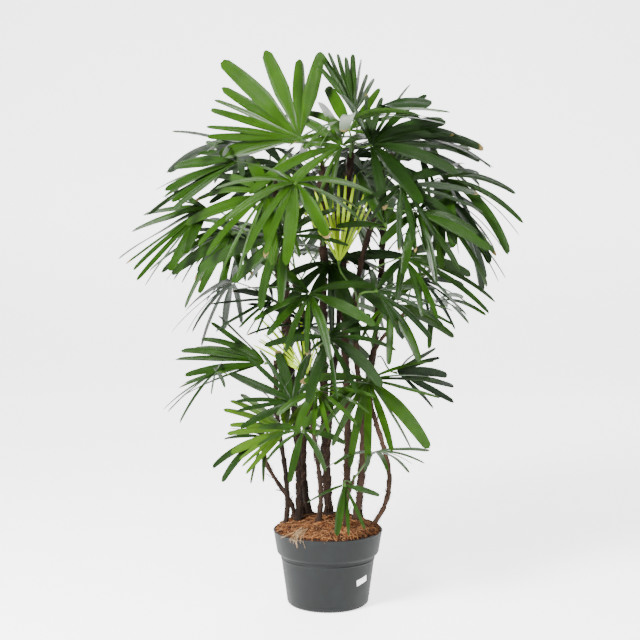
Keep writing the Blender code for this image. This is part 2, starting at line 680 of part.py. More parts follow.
def fill_fronds(name, axes, curves):
    """Return the fronds that the rule adds to a cane, the crown's first."""
    fill = FILL[name]
    draw = random.Random(f"{SEED} {name}")
    size = 0.50 + 0.50 * min(1.0, CANES[name].tip[2] / 1.05)
    made = []
    for index in range(fill.crown + fill.below):
        lower = index - fill.crown + 1 if index >= fill.crown else 0
        up = 1.0 - 0.065 * lower
        bearing = fill.bearing + (index * GOLDEN_ANGLE) % 200 - 100 + draw.uniform(-12, 12)
        reach = size * ((0.19 + 0.03 * lower) if lower else draw.uniform(0.08, 0.15))
        rise = size * (draw.uniform(0.10, 0.17) if lower else draw.uniform(0.06, 0.12))
        foot = bezier(curves[name], up)[0] if lower else axes[name][1]
        lean = draw.uniform(25, 60) if lower else draw.uniform(-45, 20)
        away = bearing_vector(bearing + draw.uniform(-20, 20))
        made.append(Frond(
            cane=name,
            up=up,
            bearing=bearing,
            hub=foot + bearing_vector(bearing) * reach + UP * rise,
            aim=away,
            face=leaning(bearing + draw.uniform(-40, 40), lean),
            spread=draw.uniform(190, 230),
            leaflets=8 if size > 0.8 else 6,
            length=size * draw.uniform(0.24, 0.28),
            droop=draw.uniform(0.20, 0.35),
        ))
    return made


Canes = namedtuple("Canes", "rods sheaths curves axes trees space")


def grow_canes(mix):
    """Return the canes' rods and sheaths by name, with what the fronds need to grow on them."""
    mix_tree = tree_of(*mix)
    grown = Canes({}, {}, {}, {}, {}, Space())
    grown.space.add("potting_mix", *mix)
    for name, cane in CANES.items():
        height = top_of(mix[0], mix_tree, cane.foot, cane.foot_radius * FLARE * 1.1) + 2 * GAP
        curve = cane_curve(cane, height)
        rod_shape = cane_shape(cane, curve)
        verts, faces, base, top = sheath_shape(cane, curve)
        grown.curves[name] = curve
        grown.axes[name] = (base, top)
        grown.rods[name] = rod_shape
        grown.sheaths[name] = (verts, faces)
        grown.trees[name] = tree_of(*rod_shape)
        grown.space.add(name, *rod_shape)
        grown.space.add(f"{name}_sheath", verts, faces)
    return grown


def grow_fronds(canes):
    """Return the fronds of each crown and the single fronds, by name, each with the room at its hub."""
    wanted = shown_fronds(canes.axes, canes.curves)
    for name in CANES:
        wanted += fill_fronds(name, canes.axes, canes.curves)
    draw = random.Random(SEED)
    crowns = {name: [] for name in CANES}
    counts = {name: 0 for name in CANES}
    singles = {}
    for frond in wanted:
        name = frond.cane
        sheath = f"{name}_sheath"
        if frond.up == 1.0:
            base, top = canes.axes[name]
            foot = base.lerp(top, SHEATH_ROOTS[len(crowns[name])])
            out = bearing_vector(frond.bearing)
            grown = grow_frond(frond, (foot, out, UP.cross(out)), canes.space, draw, (sheath,), True)
        else:
            foot_data = foot_on_cane(canes.trees, canes.curves, frond)
            grown = grow_frond(frond, foot_data, canes.space, draw, (), False)
        full = frond.up < 1.0 and len(singles) >= MOST_SINGLE_FRONDS
        if grown is None or full:
            continue
        if frond.up == 1.0:
            crowns[name].append(grown)
            blade_only = grown[0]._replace(petiole=grown[0].petiole[-2:])
            canes.space.add(f"{name}_blade", *frond_shape(blade_only, grown[1]))
            canes.space.add(sheath, *closed_strip(grown[0].petiole[:-1]))
        else:
            counts[name] += 1
            singles[f"{name}_frond_{counts[name]}"] = grown
            canes.space.add(f"{name}_frond", *frond_shape(*grown))
    return crowns, singles


def fuse(name, shapes, finish):
    """Join closed shapes that run into each other into one object."""
    scene = bpy.context.scene
    base = add_object(name, *shapes[0], finish)
    group = bpy.data.collections.new(f"{name}_parts")
    scene.collection.children.link(group)
    for index, shape in enumerate(shapes[1:]):
        part = add_object(f"{name}_part_{index}", *shape, finish)
        scene.collection.objects.unlink(part)
        group.objects.link(part)
    union = base.modifiers.new("union", "BOOLEAN")
    union.operation = "UNION"
    union.operand_type = "COLLECTION"
    union.collection = group
    union.solver = "EXACT"
    depsgraph = bpy.context.evaluated_depsgraph_get()
    fused = bpy.data.meshes.new_from_object(base.evaluated_get(depsgraph))
    base.modifiers.clear()
    base.data = fused
    for part in list(group.objects):
        bpy.data.objects.remove(part)
    bpy.data.collections.remove(group)
    return base


def main():
    """Build the whole plant in its pot."""
    for old in list(bpy.data.objects):
        bpy.data.objects.remove(old)
    pot_plastic = material("pot_plastic", (0.050, 0.056, 0.058), 0.45)
    mulch = material("mulch", (0.300, 0.120, 0.045), 0.95)
    bark = material("bark", (0.095, 0.052, 0.034), 0.85)
    greens = [
        material("leaf_dark", (0.020, 0.070, 0.010), 0.40),
        material("leaf_green", (0.035, 0.115, 0.014), 0.40),
        material("leaf_lime", (0.075, 0.200, 0.022), 0.40),
    ]
    build_pot(pot_plastic)
    mix = mix_shape()
    add_object("potting_mix", *mix, mulch, smooth_below=50)
    canes = grow_canes(mix)
    crowns, singles = grow_fronds(canes)
    for name, shape in canes.rods.items():
        add_object(name, *shape, bark, smooth_below=60)
    for index, (name, fronds) in enumerate(crowns.items()):
        shapes = [canes.sheaths[name]] + [frond_shape(*grown) for grown in fronds]
        fuse(f"{name}_crown", shapes, greens[index % len(greens)])
    for index, (name, grown) in enumerate(singles.items()):
        add_object(name, *frond_shape(*grown), greens[index % len(greens)])


if __name__ == "__main__":
    main()
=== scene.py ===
"""Lady palm in its nursery pot: the finished plant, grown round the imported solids.

The canes, petioles and leaflets follow the growth rule of the part's source, which is written
again here and carried to finer leaflets, sheaths and fibres. Metres, +Z up, front towards -Y.
Bearings are degrees round the plant: 0 is +X, 90 is the back, 180 is -X, -90 is the front.
"""
import math
import random
from collections import defaultdict, namedtuple
from functools import lru_cache

import bmesh
import bpy
import numpy as np
from bpy.props import FloatProperty, FloatVectorProperty, IntProperty, PointerProperty
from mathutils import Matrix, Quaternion, Vector, noise
from mathutils.bvhtree import BVHTree


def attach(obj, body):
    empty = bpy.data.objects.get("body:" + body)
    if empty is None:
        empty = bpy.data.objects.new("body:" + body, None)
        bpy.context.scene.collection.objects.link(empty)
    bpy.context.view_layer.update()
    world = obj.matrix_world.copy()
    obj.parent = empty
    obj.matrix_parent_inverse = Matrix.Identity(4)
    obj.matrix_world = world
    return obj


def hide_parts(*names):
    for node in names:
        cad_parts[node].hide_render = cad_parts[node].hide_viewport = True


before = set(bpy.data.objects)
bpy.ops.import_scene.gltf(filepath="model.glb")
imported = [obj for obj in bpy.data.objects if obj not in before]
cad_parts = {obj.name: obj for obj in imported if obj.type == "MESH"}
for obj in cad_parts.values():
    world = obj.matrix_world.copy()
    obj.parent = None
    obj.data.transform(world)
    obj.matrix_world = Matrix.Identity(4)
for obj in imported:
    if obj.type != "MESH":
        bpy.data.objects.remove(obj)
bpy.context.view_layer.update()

bl_info = {
    "name": "Potted lady palm",
    "version": (1, 0, 0),
    "blender": (4, 5, 0),
    "location": "View3D > Sidebar > Palm",
    "description": "Builds a lady palm in its nursery pot, piece by piece",
    "category": "Add Mesh",
}

BODY = "root"
UP = Vector((0.0, 0.0, 1.0))
GAP = 0.0003
SEED = 71

# Pot: a turned shell with a deep band under its rim, a shoulder and a thin rib below it
POT_HEIGHT = 0.215
RIM_RADIUS = 0.160
BAND_HEIGHT = 0.062
BAND_TAPER = 0.011
SHOULDER_STEP = 0.011
SHOULDER_DROP = 0.008
BASE_RADIUS = 0.118
FOOT_BEVEL = 0.005
RIB_BELOW_SHOULDER = 0.012
RIB_SIZE = 0.0016
POT_WALL = 0.003
LIP_WIDTH = 0.005
POT_SIDES = 32
RIM_ROUNDING = 0.0015
# The height of the band's foot, and the height and radius of the neck under the shoulder
BAND_FOOT = POT_HEIGHT - BAND_HEIGHT
NECK = BAND_FOOT - SHOULDER_DROP
NECK_RADIUS = RIM_RADIUS - BAND_TAPER - SHOULDER_STEP

# Potting mix: coarse fibre, heaped from just under the rim up to the middle
MIX_EDGE_HEIGHT = 0.204
MIX_HEAP = 0.038
MIX_FALL = 3.2
MIX_LUMP = 0.0035
MIX_RINGS = 4

# Canes: seven-sided rods with a flared foot, cut flat at both ends
CANE_SIDES = 7
CANE_STEP = 0.11
FLARE = 1.35
FLARE_HEIGHT = 0.03

# Crown of a cane: the young sheaths that stand on its tip and hold its youngest fronds
SHEATH_HEIGHT = 0.11
SHEATH_SWELL = 1.25
SHEATH_TOP_RADIUS = 0.0045
SHEATH_ROOTS = (0.55, 0.72, 0.38, 0.86)

# Frond: a petiole, a small hub and blunt leaflets that spread from it like a hand
HUB_RADIUS = 0.020
HUB_BACK = 0.009
HUB_DEPTH = 0.0045
HUB_KEEL = 0.0032
HUB_OPENS_AT = 143.0
PETIOLE_HALF_WIDTH = 0.0034
PETIOLE_DEPTH = 0.0060
PETIOLE_STEPS = 4
PETIOLE_LEAVES_AT = 52.0
# The width of a petiole in a sheath and at its hub, as shares of its full width
IN_SHEATH = 0.8
AT_HUB = 1.15
# How far it keeps the heading of its foot and that of its hub, as shares of its span
FOOT_HOLD = 0.38
HUB_HOLD = 0.34
LEAFLET_WIDTH = 0.145
LEAFLET_MIN_THICKNESS = 0.0105
LEAFLET_STATIONS = (0.34, 0.70, 1.0)
LEAFLET_SHAPE = (0.72, 1.0, 0.42)
LEAFLET_CLEARANCE = 0.0004
ROOM_AT_HUB = 0.86
# How far a leaflet may leave its plan: its turn (as a share of the gap to the next one), its rise,
# length, droop, width, swerve and twist
TURN_PLAY = 0.24
RISE_PLAY = (0.02, 0.22)
LENGTH_PLAY = (0.84, 1.08)
DROOP_PLAY = (0.6, 1.8)
WIDTH_PLAY = (0.85, 1.15)
SWERVE_PLAY = 0.06
TWIST_PLAY = 0.35
# How much shorter and narrower the outermost leaflets are, and how much more they droop
OUTER_SHORTER = 0.22
OUTER_NARROWER = 0.3
OUTER_DROOP = 0.3
# How a leaflet that finds no room is shortened and bent, one try after another
SHORTER = (1.0, 0.9, 0.78, 0.64)
BENDS = (0.07, -0.07, 0.14, -0.14, 0.22, -0.22)

# The fronds that stand singly on the canes, below the crowns, and the leaflets a frond needs
MOST_SINGLE_FRONDS = 32
FEWEST_LEAFLETS = 3

# How far a hub may be moved, one try after another, to find room for its petiole and blade
NUDGE = 0.018
NUDGES = [
    (NUDGE * reach * x, NUDGE * reach * y, NUDGE * reach * z)
    for reach in (0, 1, 2, 3, 4)
    for x, y, z in ((0, 0, 1), (1, 0, 0), (0, -1, 0), (-1, 0, 0), (0, 1, 0), (0, 0, -1))
]

# One row a cane: foot x y, tip x y z, how far it bows off the straight line a third and two
# thirds of the way up (x y each), its radius at the foot and at the tip
Cane = namedtuple("Cane", "foot tip bow_low bow_high foot_radius tip_radius")
CANES = {
    "cane_1": Cane((-0.100, 0.060), (-0.188, 0.035, 0.430), (0.010, 0.0), (-0.004, 0.0), 0.0080, 0.0062),
    "cane_2": Cane((-0.124, 0.005), (-0.150, -0.020, 0.600), (0.012, 0.0), (0.004, 0.0), 0.0075, 0.0060),
    "cane_3": Cane((-0.086, 0.000), (-0.118, -0.030, 0.990), (0.006, 0.0), (-0.003, 0.0), 0.0100, 0.0080),
    "cane_4": Cane((-0.052, 0.090), (-0.080, 0.120, 0.860), (-0.010, 0.0), (0.014, 0.0), 0.0095, 0.0070),
    "cane_5": Cane((0.004, 0.040), (-0.015, 0.010, 1.190), (-0.008, 0.0), (-0.004, 0.0), 0.0125, 0.0100),
    "cane_6": Cane((0.050, 0.075), (0.062, 0.050, 1.250), (0.004, 0.0), (-0.010, 0.0), 0.0110, 0.0090),
    "cane_7": Cane((0.078, -0.005), (0.108, -0.030, 1.040), (0.012, 0.0), (-0.018, 0.0), 0.0090, 0.0075),
    "cane_8": Cane((0.134, 0.028), (0.168, 0.030, 0.780), (0.030, 0.0), (-0.034, 0.0), 0.0080, 0.0065),
    "cane_9": Cane((-0.028, -0.035), (-0.040, -0.075, 0.640), (0.008, 0.0), (-0.006, 0.0), 0.0075, 0.0060),
    "cane_10": Cane((0.045, -0.075), (0.056, -0.095, 0.330), (0.004, 0.0), (0.0, 0.0), 0.0060, 0.0050),
    "cane_11": Cane((-0.070, 0.120), (-0.160, 0.190, 1.150), (0.0, 0.02), (-0.01, 0.02), 0.0100, 0.0080),
    "cane_12": Cane((0.095, 0.110), (0.170, 0.180, 1.170), (0.0, 0.02), (0.01, 0.01), 0.0100, 0.0080),
    "cane_13": Cane((0.010, 0.132), (0.030, 0.220, 1.080), (-0.01, 0.01), (0.01, 0.02), 0.0085, 0.0070),
}

# One row a frond that shows: its cane, how far up the cane its foot is (1 is in the crown), the
# place of its hub, the clock angle that its blade points to as seen from the front (0 is +X, 90
# is up), the bearing that its upper face looks to and how far that face leans from level, the
# spread of its leaflets, their number, their length and how far they droop
Shown = namedtuple("Shown", "cane up hub points faces leans spread leaflets length droop")
SHOWN = (
    Shown("cane_5", 1.0, (-0.08, -0.05, 1.345), 130, -95, 70, 104, 8, 0.37, 0.03),
    Shown("cane_5", 1.0, (0.04, -0.12, 1.28), 150, -80, 48, 190, 7, 0.29, 0.22),
    Shown("cane_5", 0.93, (-0.26, 0.00, 1.28), 163, -130, 42, 120, 8, 0.31, 0.10),
    Shown("cane_5", 0.84, (-0.09, -0.19, 1.20), -105, -90, 50, 230, 8, 0.25, 0.20),
    Shown("cane_5", 0.77, (-0.17, -0.14, 1.17), 190, -115, 52, 240, 8, 0.27, 0.22),
    Shown("cane_6", 1.0, (0.08, 0.03, 1.43), 88, -60, 72, 60, 5, 0.27, 0.03),
    Shown("cane_6", 1.0, (0.12, -0.07, 1.32), 16, -78, 58, 190, 9, 0.29, 0.14),
    Shown("cane_6", 0.95, (0.27, 0.08, 1.31), 5, -45, 40, 160, 7, 0.26, 0.25),
    Shown("cane_6", 0.88, (0.31, 0.02, 1.20), -8, -45, 42, 180, 7, 0.26, 0.25),
    Shown("cane_6", 0.80, (0.20, -0.13, 1.20), -35, -70, 52, 220, 7, 0.25, 0.22),
    Shown("cane_7", 1.0, (0.31, -0.04, 1.14), -14, -45, 46, 190, 8, 0.28, 0.22),
    Shown("cane_7", 1.0, (0.24, -0.17, 1.12), -55, -75, 55, 190, 7, 0.22, 0.22),
    Shown("cane_7", 0.86, (0.21, -0.12, 1.00), -12, -60, 42, 190, 7, 0.26, 0.22),
    Shown("cane_7", 0.80, (0.03, -0.12, 0.99), 86, -90, 76, 56, 6, 0.27, 0.02),
    Shown("cane_7", 1.0, (0.16, -0.12, 1.04), 105, -90, 60, 120, 5, 0.21, 0.15),
    Shown("cane_7", 0.72, (0.13, -0.19, 0.91), 22, -85, 50, 150, 6, 0.20, 0.20),
    Shown("cane_3", 1.0, (-0.12, -0.20, 1.06), 140, -95, 62, 256, 9, 0.23, 0.20),
    Shown("cane_3", 1.0, (-0.27, -0.06, 1.07), 215, -125, 55, 170, 8, 0.23, 0.15),
    Shown("cane_3", 0.90, (-0.35, 0.00, 1.13), 203, -130, 50, 130, 8, 0.29, 0.05),
    Shown("cane_3", 0.77, (-0.16, 0.00, 0.88), 185, -120, 32, 150, 6, 0.20, 0.15),
    Shown("cane_8", 1.0, (0.17, -0.08, 0.87), -28, -75, 48, 220, 7, 0.20, 0.22),
    Shown("cane_8", 1.0, (0.27, 0.02, 0.94), 10, -45, 45, 180, 7, 0.20, 0.15),
    Shown("cane_8", 0.76, (0.11, -0.12, 0.66), -84, -80, 60, 210, 8, 0.25, 0.16),
    Shown("cane_8", 0.86, (0.20, 0.02, 0.67), 18, -50, 50, 90, 6, 0.20, 0.05),
    Shown("cane_4", 0.70, (-0.06, -0.07, 0.67), 112, -95, 72, 66, 6, 0.24, 0.03),
    Shown("cane_2", 1.0, (-0.18, -0.02, 0.70), 156, -115, 55, 60, 5, 0.33, 0.04),
    Shown("cane_2", 0.72, (-0.12, -0.10, 0.50), 142, -95, 55, 165, 9, 0.21, 0.08),
    Shown("cane_1", 1.0, (-0.18, -0.05, 0.49), 192, -120, 38, 140, 5, 0.19, 0.20),
    Shown("cane_3", 0.70, (-0.05, -0.17, 0.90), -100, -90, 52, 250, 7, 0.23, 0.22),
    Shown("cane_9", 1.0, (0.00, -0.17, 0.78), -70, -90, 52, 240, 7, 0.21, 0.25),
    Shown("cane_9", 0.80, (-0.07, -0.14, 0.52), -105, -90, 58, 200, 5, 0.15, 0.20),
    Shown("cane_10", 1.0, (0.045, -0.145, 0.37), -88, -90, 62, 130, 4, 0.14, 0.08),
    Shown("cane_6", 0.72, (-0.03, -0.02, 0.99), -80, -90, 62, 190, 8, 0.26, 0.15),
    Shown("cane_6", 1.0, (0.06, -0.04, 1.37), 100, -90, 62, 200, 7, 0.20, 0.10),
    Shown("cane_9", 0.84, (-0.10, -0.13, 0.60), 125, -95, 60, 150, 7, 0.20, 0.08),
    Shown("cane_9", 0.90, (-0.03, -0.20, 0.64), -70, -100, 45, 190, 6, 0.17, 0.20),
)


def bearing_vector(degrees):
    """Return the level unit vector at a bearing."""
    angle = math.radians(degrees)
    return Vector((math.cos(angle), math.sin(angle), 0.0))


def bezier(points, t):
    """Return the place and the heading at t on a curve with four control points."""
    a, b, c, d = points
    s = 1.0 - t
    place = a * s ** 3 + b * (3 * s * s * t) + c * (3 * s * t * t) + d * t ** 3
    heading = (b - a) * (3 * s * s) + (c - b) * (6 * s * t) + (d - c) * (3 * t * t)
    return place, heading.normalized()


Frond = namedtuple("Frond", "cane up bearing hub aim face spread leaflets length droop")


def leaning(bearing, lean):
    """Return the upright unit vector leant over towards a bearing."""
    lean = math.radians(lean)
    return bearing_vector(bearing) * math.sin(lean) + UP * math.cos(lean)


def tree_of(verts, faces):
    """Return the search tree of a shape given by its points and faces."""
    return BVHTree.FromPolygons([tuple(v) for v in verts], faces, epsilon=0.0)


def turned(profile, sides, lumpy_from=0, lump=0.0):
    """Return a shape turned about Z from (radius, height) pairs that start and end on the axis."""
    draw = random.Random(SEED)
    verts = [Vector((0.0, 0.0, profile[0][1]))]
    for ring, (radius, height) in enumerate(profile[1:-1]):
        for side in range(sides):
            rough = draw.uniform(-lump, lump) if ring >= lumpy_from else 0.0
            verts.append(bearing_vector(360 * side / sides) * radius + UP * (height + rough))
    verts.append(Vector((0.0, 0.0, profile[-1][1])))
    faces = []
    rings = len(profile) - 2
    for side in range(sides):
        after = (side + 1) % sides
        faces.append((0, 1 + after, 1 + side))
        for ring in range(rings - 1):
            low, high = 1 + ring * sides, 1 + (ring + 1) * sides
            faces.append((low + side, low + after, high + after, high + side))
        last = 1 + (rings - 1) * sides
        faces.append((last + side, last + after, len(verts) - 1))
    return verts, faces


def pot_outline():
    """Return the radii and heights of the pot's outer wall from its foot to its rim."""
    slope = (NECK_RADIUS - BASE_RADIUS) / NECK
    rib = NECK - RIB_BELOW_SHOULDER

    def wall(height):
        return BASE_RADIUS + slope * height

    return [
        (BASE_RADIUS - FOOT_BEVEL, 0.0),
        (wall(FOOT_BEVEL), FOOT_BEVEL),
        (wall(rib - 2 * RIB_SIZE), rib - 2 * RIB_SIZE),
        (wall(rib) + RIB_SIZE, rib),
        (wall(rib + RIB_SIZE), rib + 2 * RIB_SIZE),
        (NECK_RADIUS, NECK),
        (NECK_RADIUS + 0.7 * SHOULDER_STEP, NECK + 0.3 * SHOULDER_DROP),
        (NECK_RADIUS + SHOULDER_STEP, BAND_FOOT),
        (RIM_RADIUS - RIM_ROUNDING, POT_HEIGHT - 0.004),
        (RIM_RADIUS, POT_HEIGHT - RIM_ROUNDING),
        (RIM_RADIUS - RIM_ROUNDING, POT_HEIGHT),
    ]


def pot_inside():
    """Return the radii and heights of the pot's inner wall from its rim down to its floor."""
    return [
        (RIM_RADIUS - LIP_WIDTH, POT_HEIGHT),
        (RIM_RADIUS - LIP_WIDTH - 0.001, POT_HEIGHT - 0.003),
        (NECK_RADIUS + SHOULDER_STEP - POT_WALL, BAND_FOOT + POT_WALL),
        (NECK_RADIUS - POT_WALL, NECK),
        (BASE_RADIUS - POT_WALL, POT_WALL),
    ]


def mix_shape():
    """Return the points and faces of the potting mix, just clear of the pot."""
    _, under, band, neck, floor = pot_inside()
    share = (MIX_EDGE_HEIGHT - band[1]) / (under[1] - band[1])
    edge = band[0] + (under[0] - band[0]) * share - 2 * GAP
    profile = [
        (0.0, floor[1] + GAP),
        (floor[0] - 2 * GAP, floor[1] + GAP),
        (neck[0] - 2 * GAP, neck[1]),
        (band[0] - 2 * GAP, band[1] + GAP),
        (edge, MIX_EDGE_HEIGHT),
    ]
    for ring in range(MIX_RINGS):
        part = 1.0 - (ring + 0.35) / MIX_RINGS
        profile.append((edge * part, MIX_EDGE_HEIGHT + MIX_HEAP * (1.0 - part ** MIX_FALL)))
    profile.append((0.0, MIX_EDGE_HEIGHT + MIX_HEAP))
    return turned(profile, POT_SIDES, lumpy_from=4, lump=MIX_LUMP)


def top_of(verts, tree, place, radius):
    """Return the highest point of a faceted surface under a round foot."""
    centre = Vector((*place, 1.0))
    highest = max([v.z for v in verts if (v - centre).xy.length < radius], default=0.0)
    for side in range(36):
        hit = tree.ray_cast(centre + bearing_vector(10 * side) * radius, -UP)[0]
        if hit:
            highest = max(highest, hit.z)
    return highest


def cane_curve(cane, foot_height):
    """Return the four control points of a cane's middle line."""
    foot = Vector((*cane.foot, foot_height))
    tip = Vector(cane.tip)
    low = foot.lerp(tip, 1 / 3) + Vector((*cane.bow_low, 0.0))
    high = foot.lerp(tip, 2 / 3) + Vector((*cane.bow_high, 0.0))
    first = (low * 18 - high * 9 - foot * 5 + tip * 2) / 6
    second = (high * 18 - low * 9 - tip * 5 + foot * 2) / 6
    return foot, first, second, tip


def cane_radius(cane, curve, t):
    """Return the radius of a cane at t, wider in its foot."""
    plain = cane.foot_radius + (cane.tip_radius - cane.foot_radius) * t
    height = (curve[3].z - curve[0].z) * t
    return plain * (1.0 + (FLARE - 1.0) * max(0.0, 1.0 - height / FLARE_HEIGHT) ** 2)


def rod(rings, sides):
    """Return a closed shape from rings, each a list of points."""
    verts = [point for ring in rings for point in ring]
    faces = [tuple(range(sides)), tuple(range(len(verts) - sides, len(verts)))]
    for ring in range(len(rings) - 1):
        for side in range(sides):
            after = (side + 1) % sides
            low, high = ring * sides, (ring + 1) * sides
            faces.append((low + side, low + after, high + after, high + side))
    return verts, faces


def level_ring(centre, radius, sides):
    """Return a level ring of points."""
    return [centre + bearing_vector(360 * side / sides) * radius for side in range(sides)]


def cane_shape(cane, curve):
    """Return the points and faces of a cane."""
    steps = max(4, round((curve[3].z - curve[0].z) / CANE_STEP))
    stations = [0.0, FLARE_HEIGHT / (curve[3].z - curve[0].z)]
    stations += [step / steps for step in range(1, steps + 1) if step / steps > stations[1] + 0.03]
    rings = []
    for t in stations:
        centre = bezier(curve, t)[0]
        rings.append(level_ring(centre, cane_radius(cane, curve, t), CANE_SIDES))
    return rod(rings, CANE_SIDES)


def sheath_shape(cane, curve):
    """Return the points and faces of the sheaths on a cane's tip, and the two ends of their axis."""
    tip, heading = bezier(curve, 1.0)
    base = tip + UP * GAP
    top = tip + heading * (SHEATH_HEIGHT * (0.6 if curve[3].z < 0.5 else 1.0))
    wide = cane.tip_radius * SHEATH_SWELL
    rings = [
        level_ring(base, cane.tip_radius, CANE_SIDES),
        level_ring(base.lerp(top, 0.25), wide, CANE_SIDES),
        level_ring(top, SHEATH_TOP_RADIUS, CANE_SIDES),
    ]
    verts, faces = rod(rings, CANE_SIDES)
    return verts, faces, base, top


def section(centre, across, normal, half_width, depth):
    """Return the left edge, the right edge and the keel of a three-cornered section."""
    return (centre + across * half_width, centre - across * half_width, centre - normal * depth)


def strip_faces(first, steps):
    """Return the faces along a run of three-cornered sections, closed at its far end."""
    faces = []
    for step in range(steps):
        a = first + 3 * step
        b = a + 3
        faces += [(a, a + 1, b + 1), (a, b + 1, b)]
        faces += [(a + 1, a + 2, b + 2), (a + 1, b + 2, b + 1)]
        faces += [(a + 2, a, b), (a + 2, b, b + 2)]
    end = first + 3 * steps
    faces.append((end, end + 1, end + 2))
    return faces


def closed_strip(sections):
    """Return the points and faces of a run of sections, closed at both ends."""
    verts = [corner for ring in sections for corner in ring]
    return verts, [(0, 2, 1)] + strip_faces(0, len(sections) - 1)


Leaflet = namedtuple("Leaflet", "heading side length droop swerve width twist")


def leaflet_at(hub, leaflet, share):
    """Return the place and heading at a share of a leaflet's length."""
    down = leaflet.heading * leaflet.heading.z - UP
    bend = down * leaflet.droop + leaflet.side * leaflet.swerve
    place = hub + leaflet.heading * (leaflet.length * share) + bend * (leaflet.length * share ** 2)
    return place, (leaflet.heading + bend * (2 * share)).normalized()


def leaflet_sections(hub, normal, leaflet, room, grow=0.0):
    """Return the sections of a leaflet from its first station to its blunt tip."""
    depth = max(leaflet.length * LEAFLET_MIN_THICKNESS, 0.0022)
    sections = []
    for share, wide in zip(LEAFLET_STATIONS, LEAFLET_SHAPE):
        place, heading = leaflet_at(hub, leaflet, share)
        across = normal.cross(heading).normalized()
        across.rotate(Quaternion(heading, leaflet.twist * share))
        face = heading.cross(across)
        half = min(0.5 * leaflet.width * wide, room * leaflet.length * share)
        sections.append(section(place + face * grow, across, face, half + grow, depth + 2 * grow))
    return sections


def blade_axes(frond):
    """Return the forward, left and up directions of a frond's blade."""
    forward = (frond.aim - frond.face * frond.aim.dot(frond.face)).normalized()
    return forward, frond.face.cross(forward), frond.face


def leaflet_plan(frond, draw):
    """Return the angle and the shape of each leaflet of a frond, from its right to its left."""
    forward, left, up = blade_axes(frond)
    gap = frond.spread / (frond.leaflets - 1)
    plan = []
    for index in range(frond.leaflets):
        place = 2 * index / (frond.leaflets - 1) - 1
        outer = abs(place)
        angle = place * frond.spread / 2 + draw.uniform(-TURN_PLAY, TURN_PLAY) * gap
        turn = math.radians(angle)
        rise = draw.uniform(*RISE_PLAY)
        heading = (forward * math.cos(turn) + left * math.sin(turn) + up * rise).normalized()
        length = frond.length * (1.0 - OUTER_SHORTER * place ** 2) * draw.uniform(*LENGTH_PLAY)
        droop = frond.droop * (1.0 + OUTER_DROOP * outer) * draw.uniform(*DROOP_PLAY)
        width = frond.length * LEAFLET_WIDTH * (1.0 - OUTER_NARROWER * outer)
        width *= draw.uniform(*WIDTH_PLAY)
        side = up.cross(heading).normalized()
        swerve = draw.uniform(-SWERVE_PLAY, SWERVE_PLAY)
        twist = draw.uniform(-TWIST_PLAY, TWIST_PLAY)
        plan.append((angle, Leaflet(heading, side, length, droop, swerve, width, twist)))
    return plan


def variants(leaflet):
    """Yield a leaflet as planned, then bent, swung and shortened a little more each time."""
    yield leaflet
    for shorter in SHORTER:
        for bend in BENDS:
            yield leaflet._replace(length=leaflet.length * shorter, droop=leaflet.droop + bend)
            yield leaflet._replace(length=leaflet.length * shorter, swerve=leaflet.swerve + bend)


class Space:
    """The room round the plant that is already taken."""

    def __init__(self):
        self.taken = []

    def add(self, name, verts, faces):
        """Take the room of one shape."""
        low = Vector([min(v[i] for v in verts) for i in range(3)])
        high = Vector([max(v[i] for v in verts) for i in range(3)])
        self.taken.append((name, low, high, tree_of(verts, faces)))

    def free(self, verts, faces, ignore=()):
        """Say whether a shape touches nothing that is taken."""
        low = [min(v[i] for v in verts) for i in range(3)]
        high = [max(v[i] for v in verts) for i in range(3)]
        tree = None
        for name, other_low, other_high, other in self.taken:
            if name in ignore:
                continue
            if any(low[i] > other_high[i] or high[i] < other_low[i] for i in range(3)):
                continue
            tree = tree or tree_of(verts, faces)
            if tree.overlap(other):
                return False
        return True


def carried_along(curve, across, steps):
    """Return the places, headings and sideways directions along a curve, without any twist."""
    run = []
    before = bezier(curve, 0.0)[1]
    for step in range(steps + 1):
        place, heading = bezier(curve, step / steps)
        across = before.rotation_difference(heading) @ across
        run.append((place, heading, across))
        before = heading
    return run


def petiole_twist(curve, foot_across, left, steps):
    """Return the angle that a petiole twists through to meet the left of its blade."""
    _, heading, across = carried_along(curve, foot_across, steps)[-1]
    return math.atan2(heading.dot(across.cross(left)), across.dot(left))


def petiole_sections(curve, out, foot_across, blade, steps, sunk):
    """Return the sections of a petiole from its foot to just behind the hub.

    A foot that isn't sunk in a sheath is cut flat, along the side of its cane.
    """
    _, left, up = blade
    twist = petiole_twist(curve, foot_across, left, steps)
    sections = []
    for step, (place, heading, across) in enumerate(carried_along(curve, foot_across, steps)[:-1]):
        across = Quaternion(heading, twist * step / steps) @ across
        face = heading.cross(across)
        if step == 0 and not sunk:
            across = foot_across
            face = out.cross(foot_across)
        half = PETIOLE_HALF_WIDTH * (IN_SHEATH if sunk and step == 0 else 1.0)
        sections.append(section(place + face * (PETIOLE_DEPTH / 2), across, face, half, PETIOLE_DEPTH))
    sections.append(section(curve[3], left, up, PETIOLE_HALF_WIDTH * AT_HUB, HUB_DEPTH))
    return sections


def petiole_curve(foot, out, hub, blade):
    """Return the control points of a petiole that leaves its foot outwards and up.

    It comes to the hub from behind and from under the blade.
    """
    forward, _, up = blade
    span = (hub - foot).length
    lift = math.radians(PETIOLE_LEAVES_AT)
    start = (out * math.cos(lift) + UP * math.sin(lift)).normalized()
    arrive = (forward * 0.5 + up * 0.5 + (hub - foot).normalized() * 0.4).normalized()
    back = hub - forward * HUB_BACK
    return foot, foot + start * (FOOT_HOLD * span), back - arrive * (HUB_HOLD * span), back


def meets_itself(verts, faces):
    """Say whether any two faces of a shape that share no point cross each other."""
    tree = tree_of(verts, faces)
    return any(not set(faces[a]) & set(faces[b]) for a, b in tree.overlap(tree))


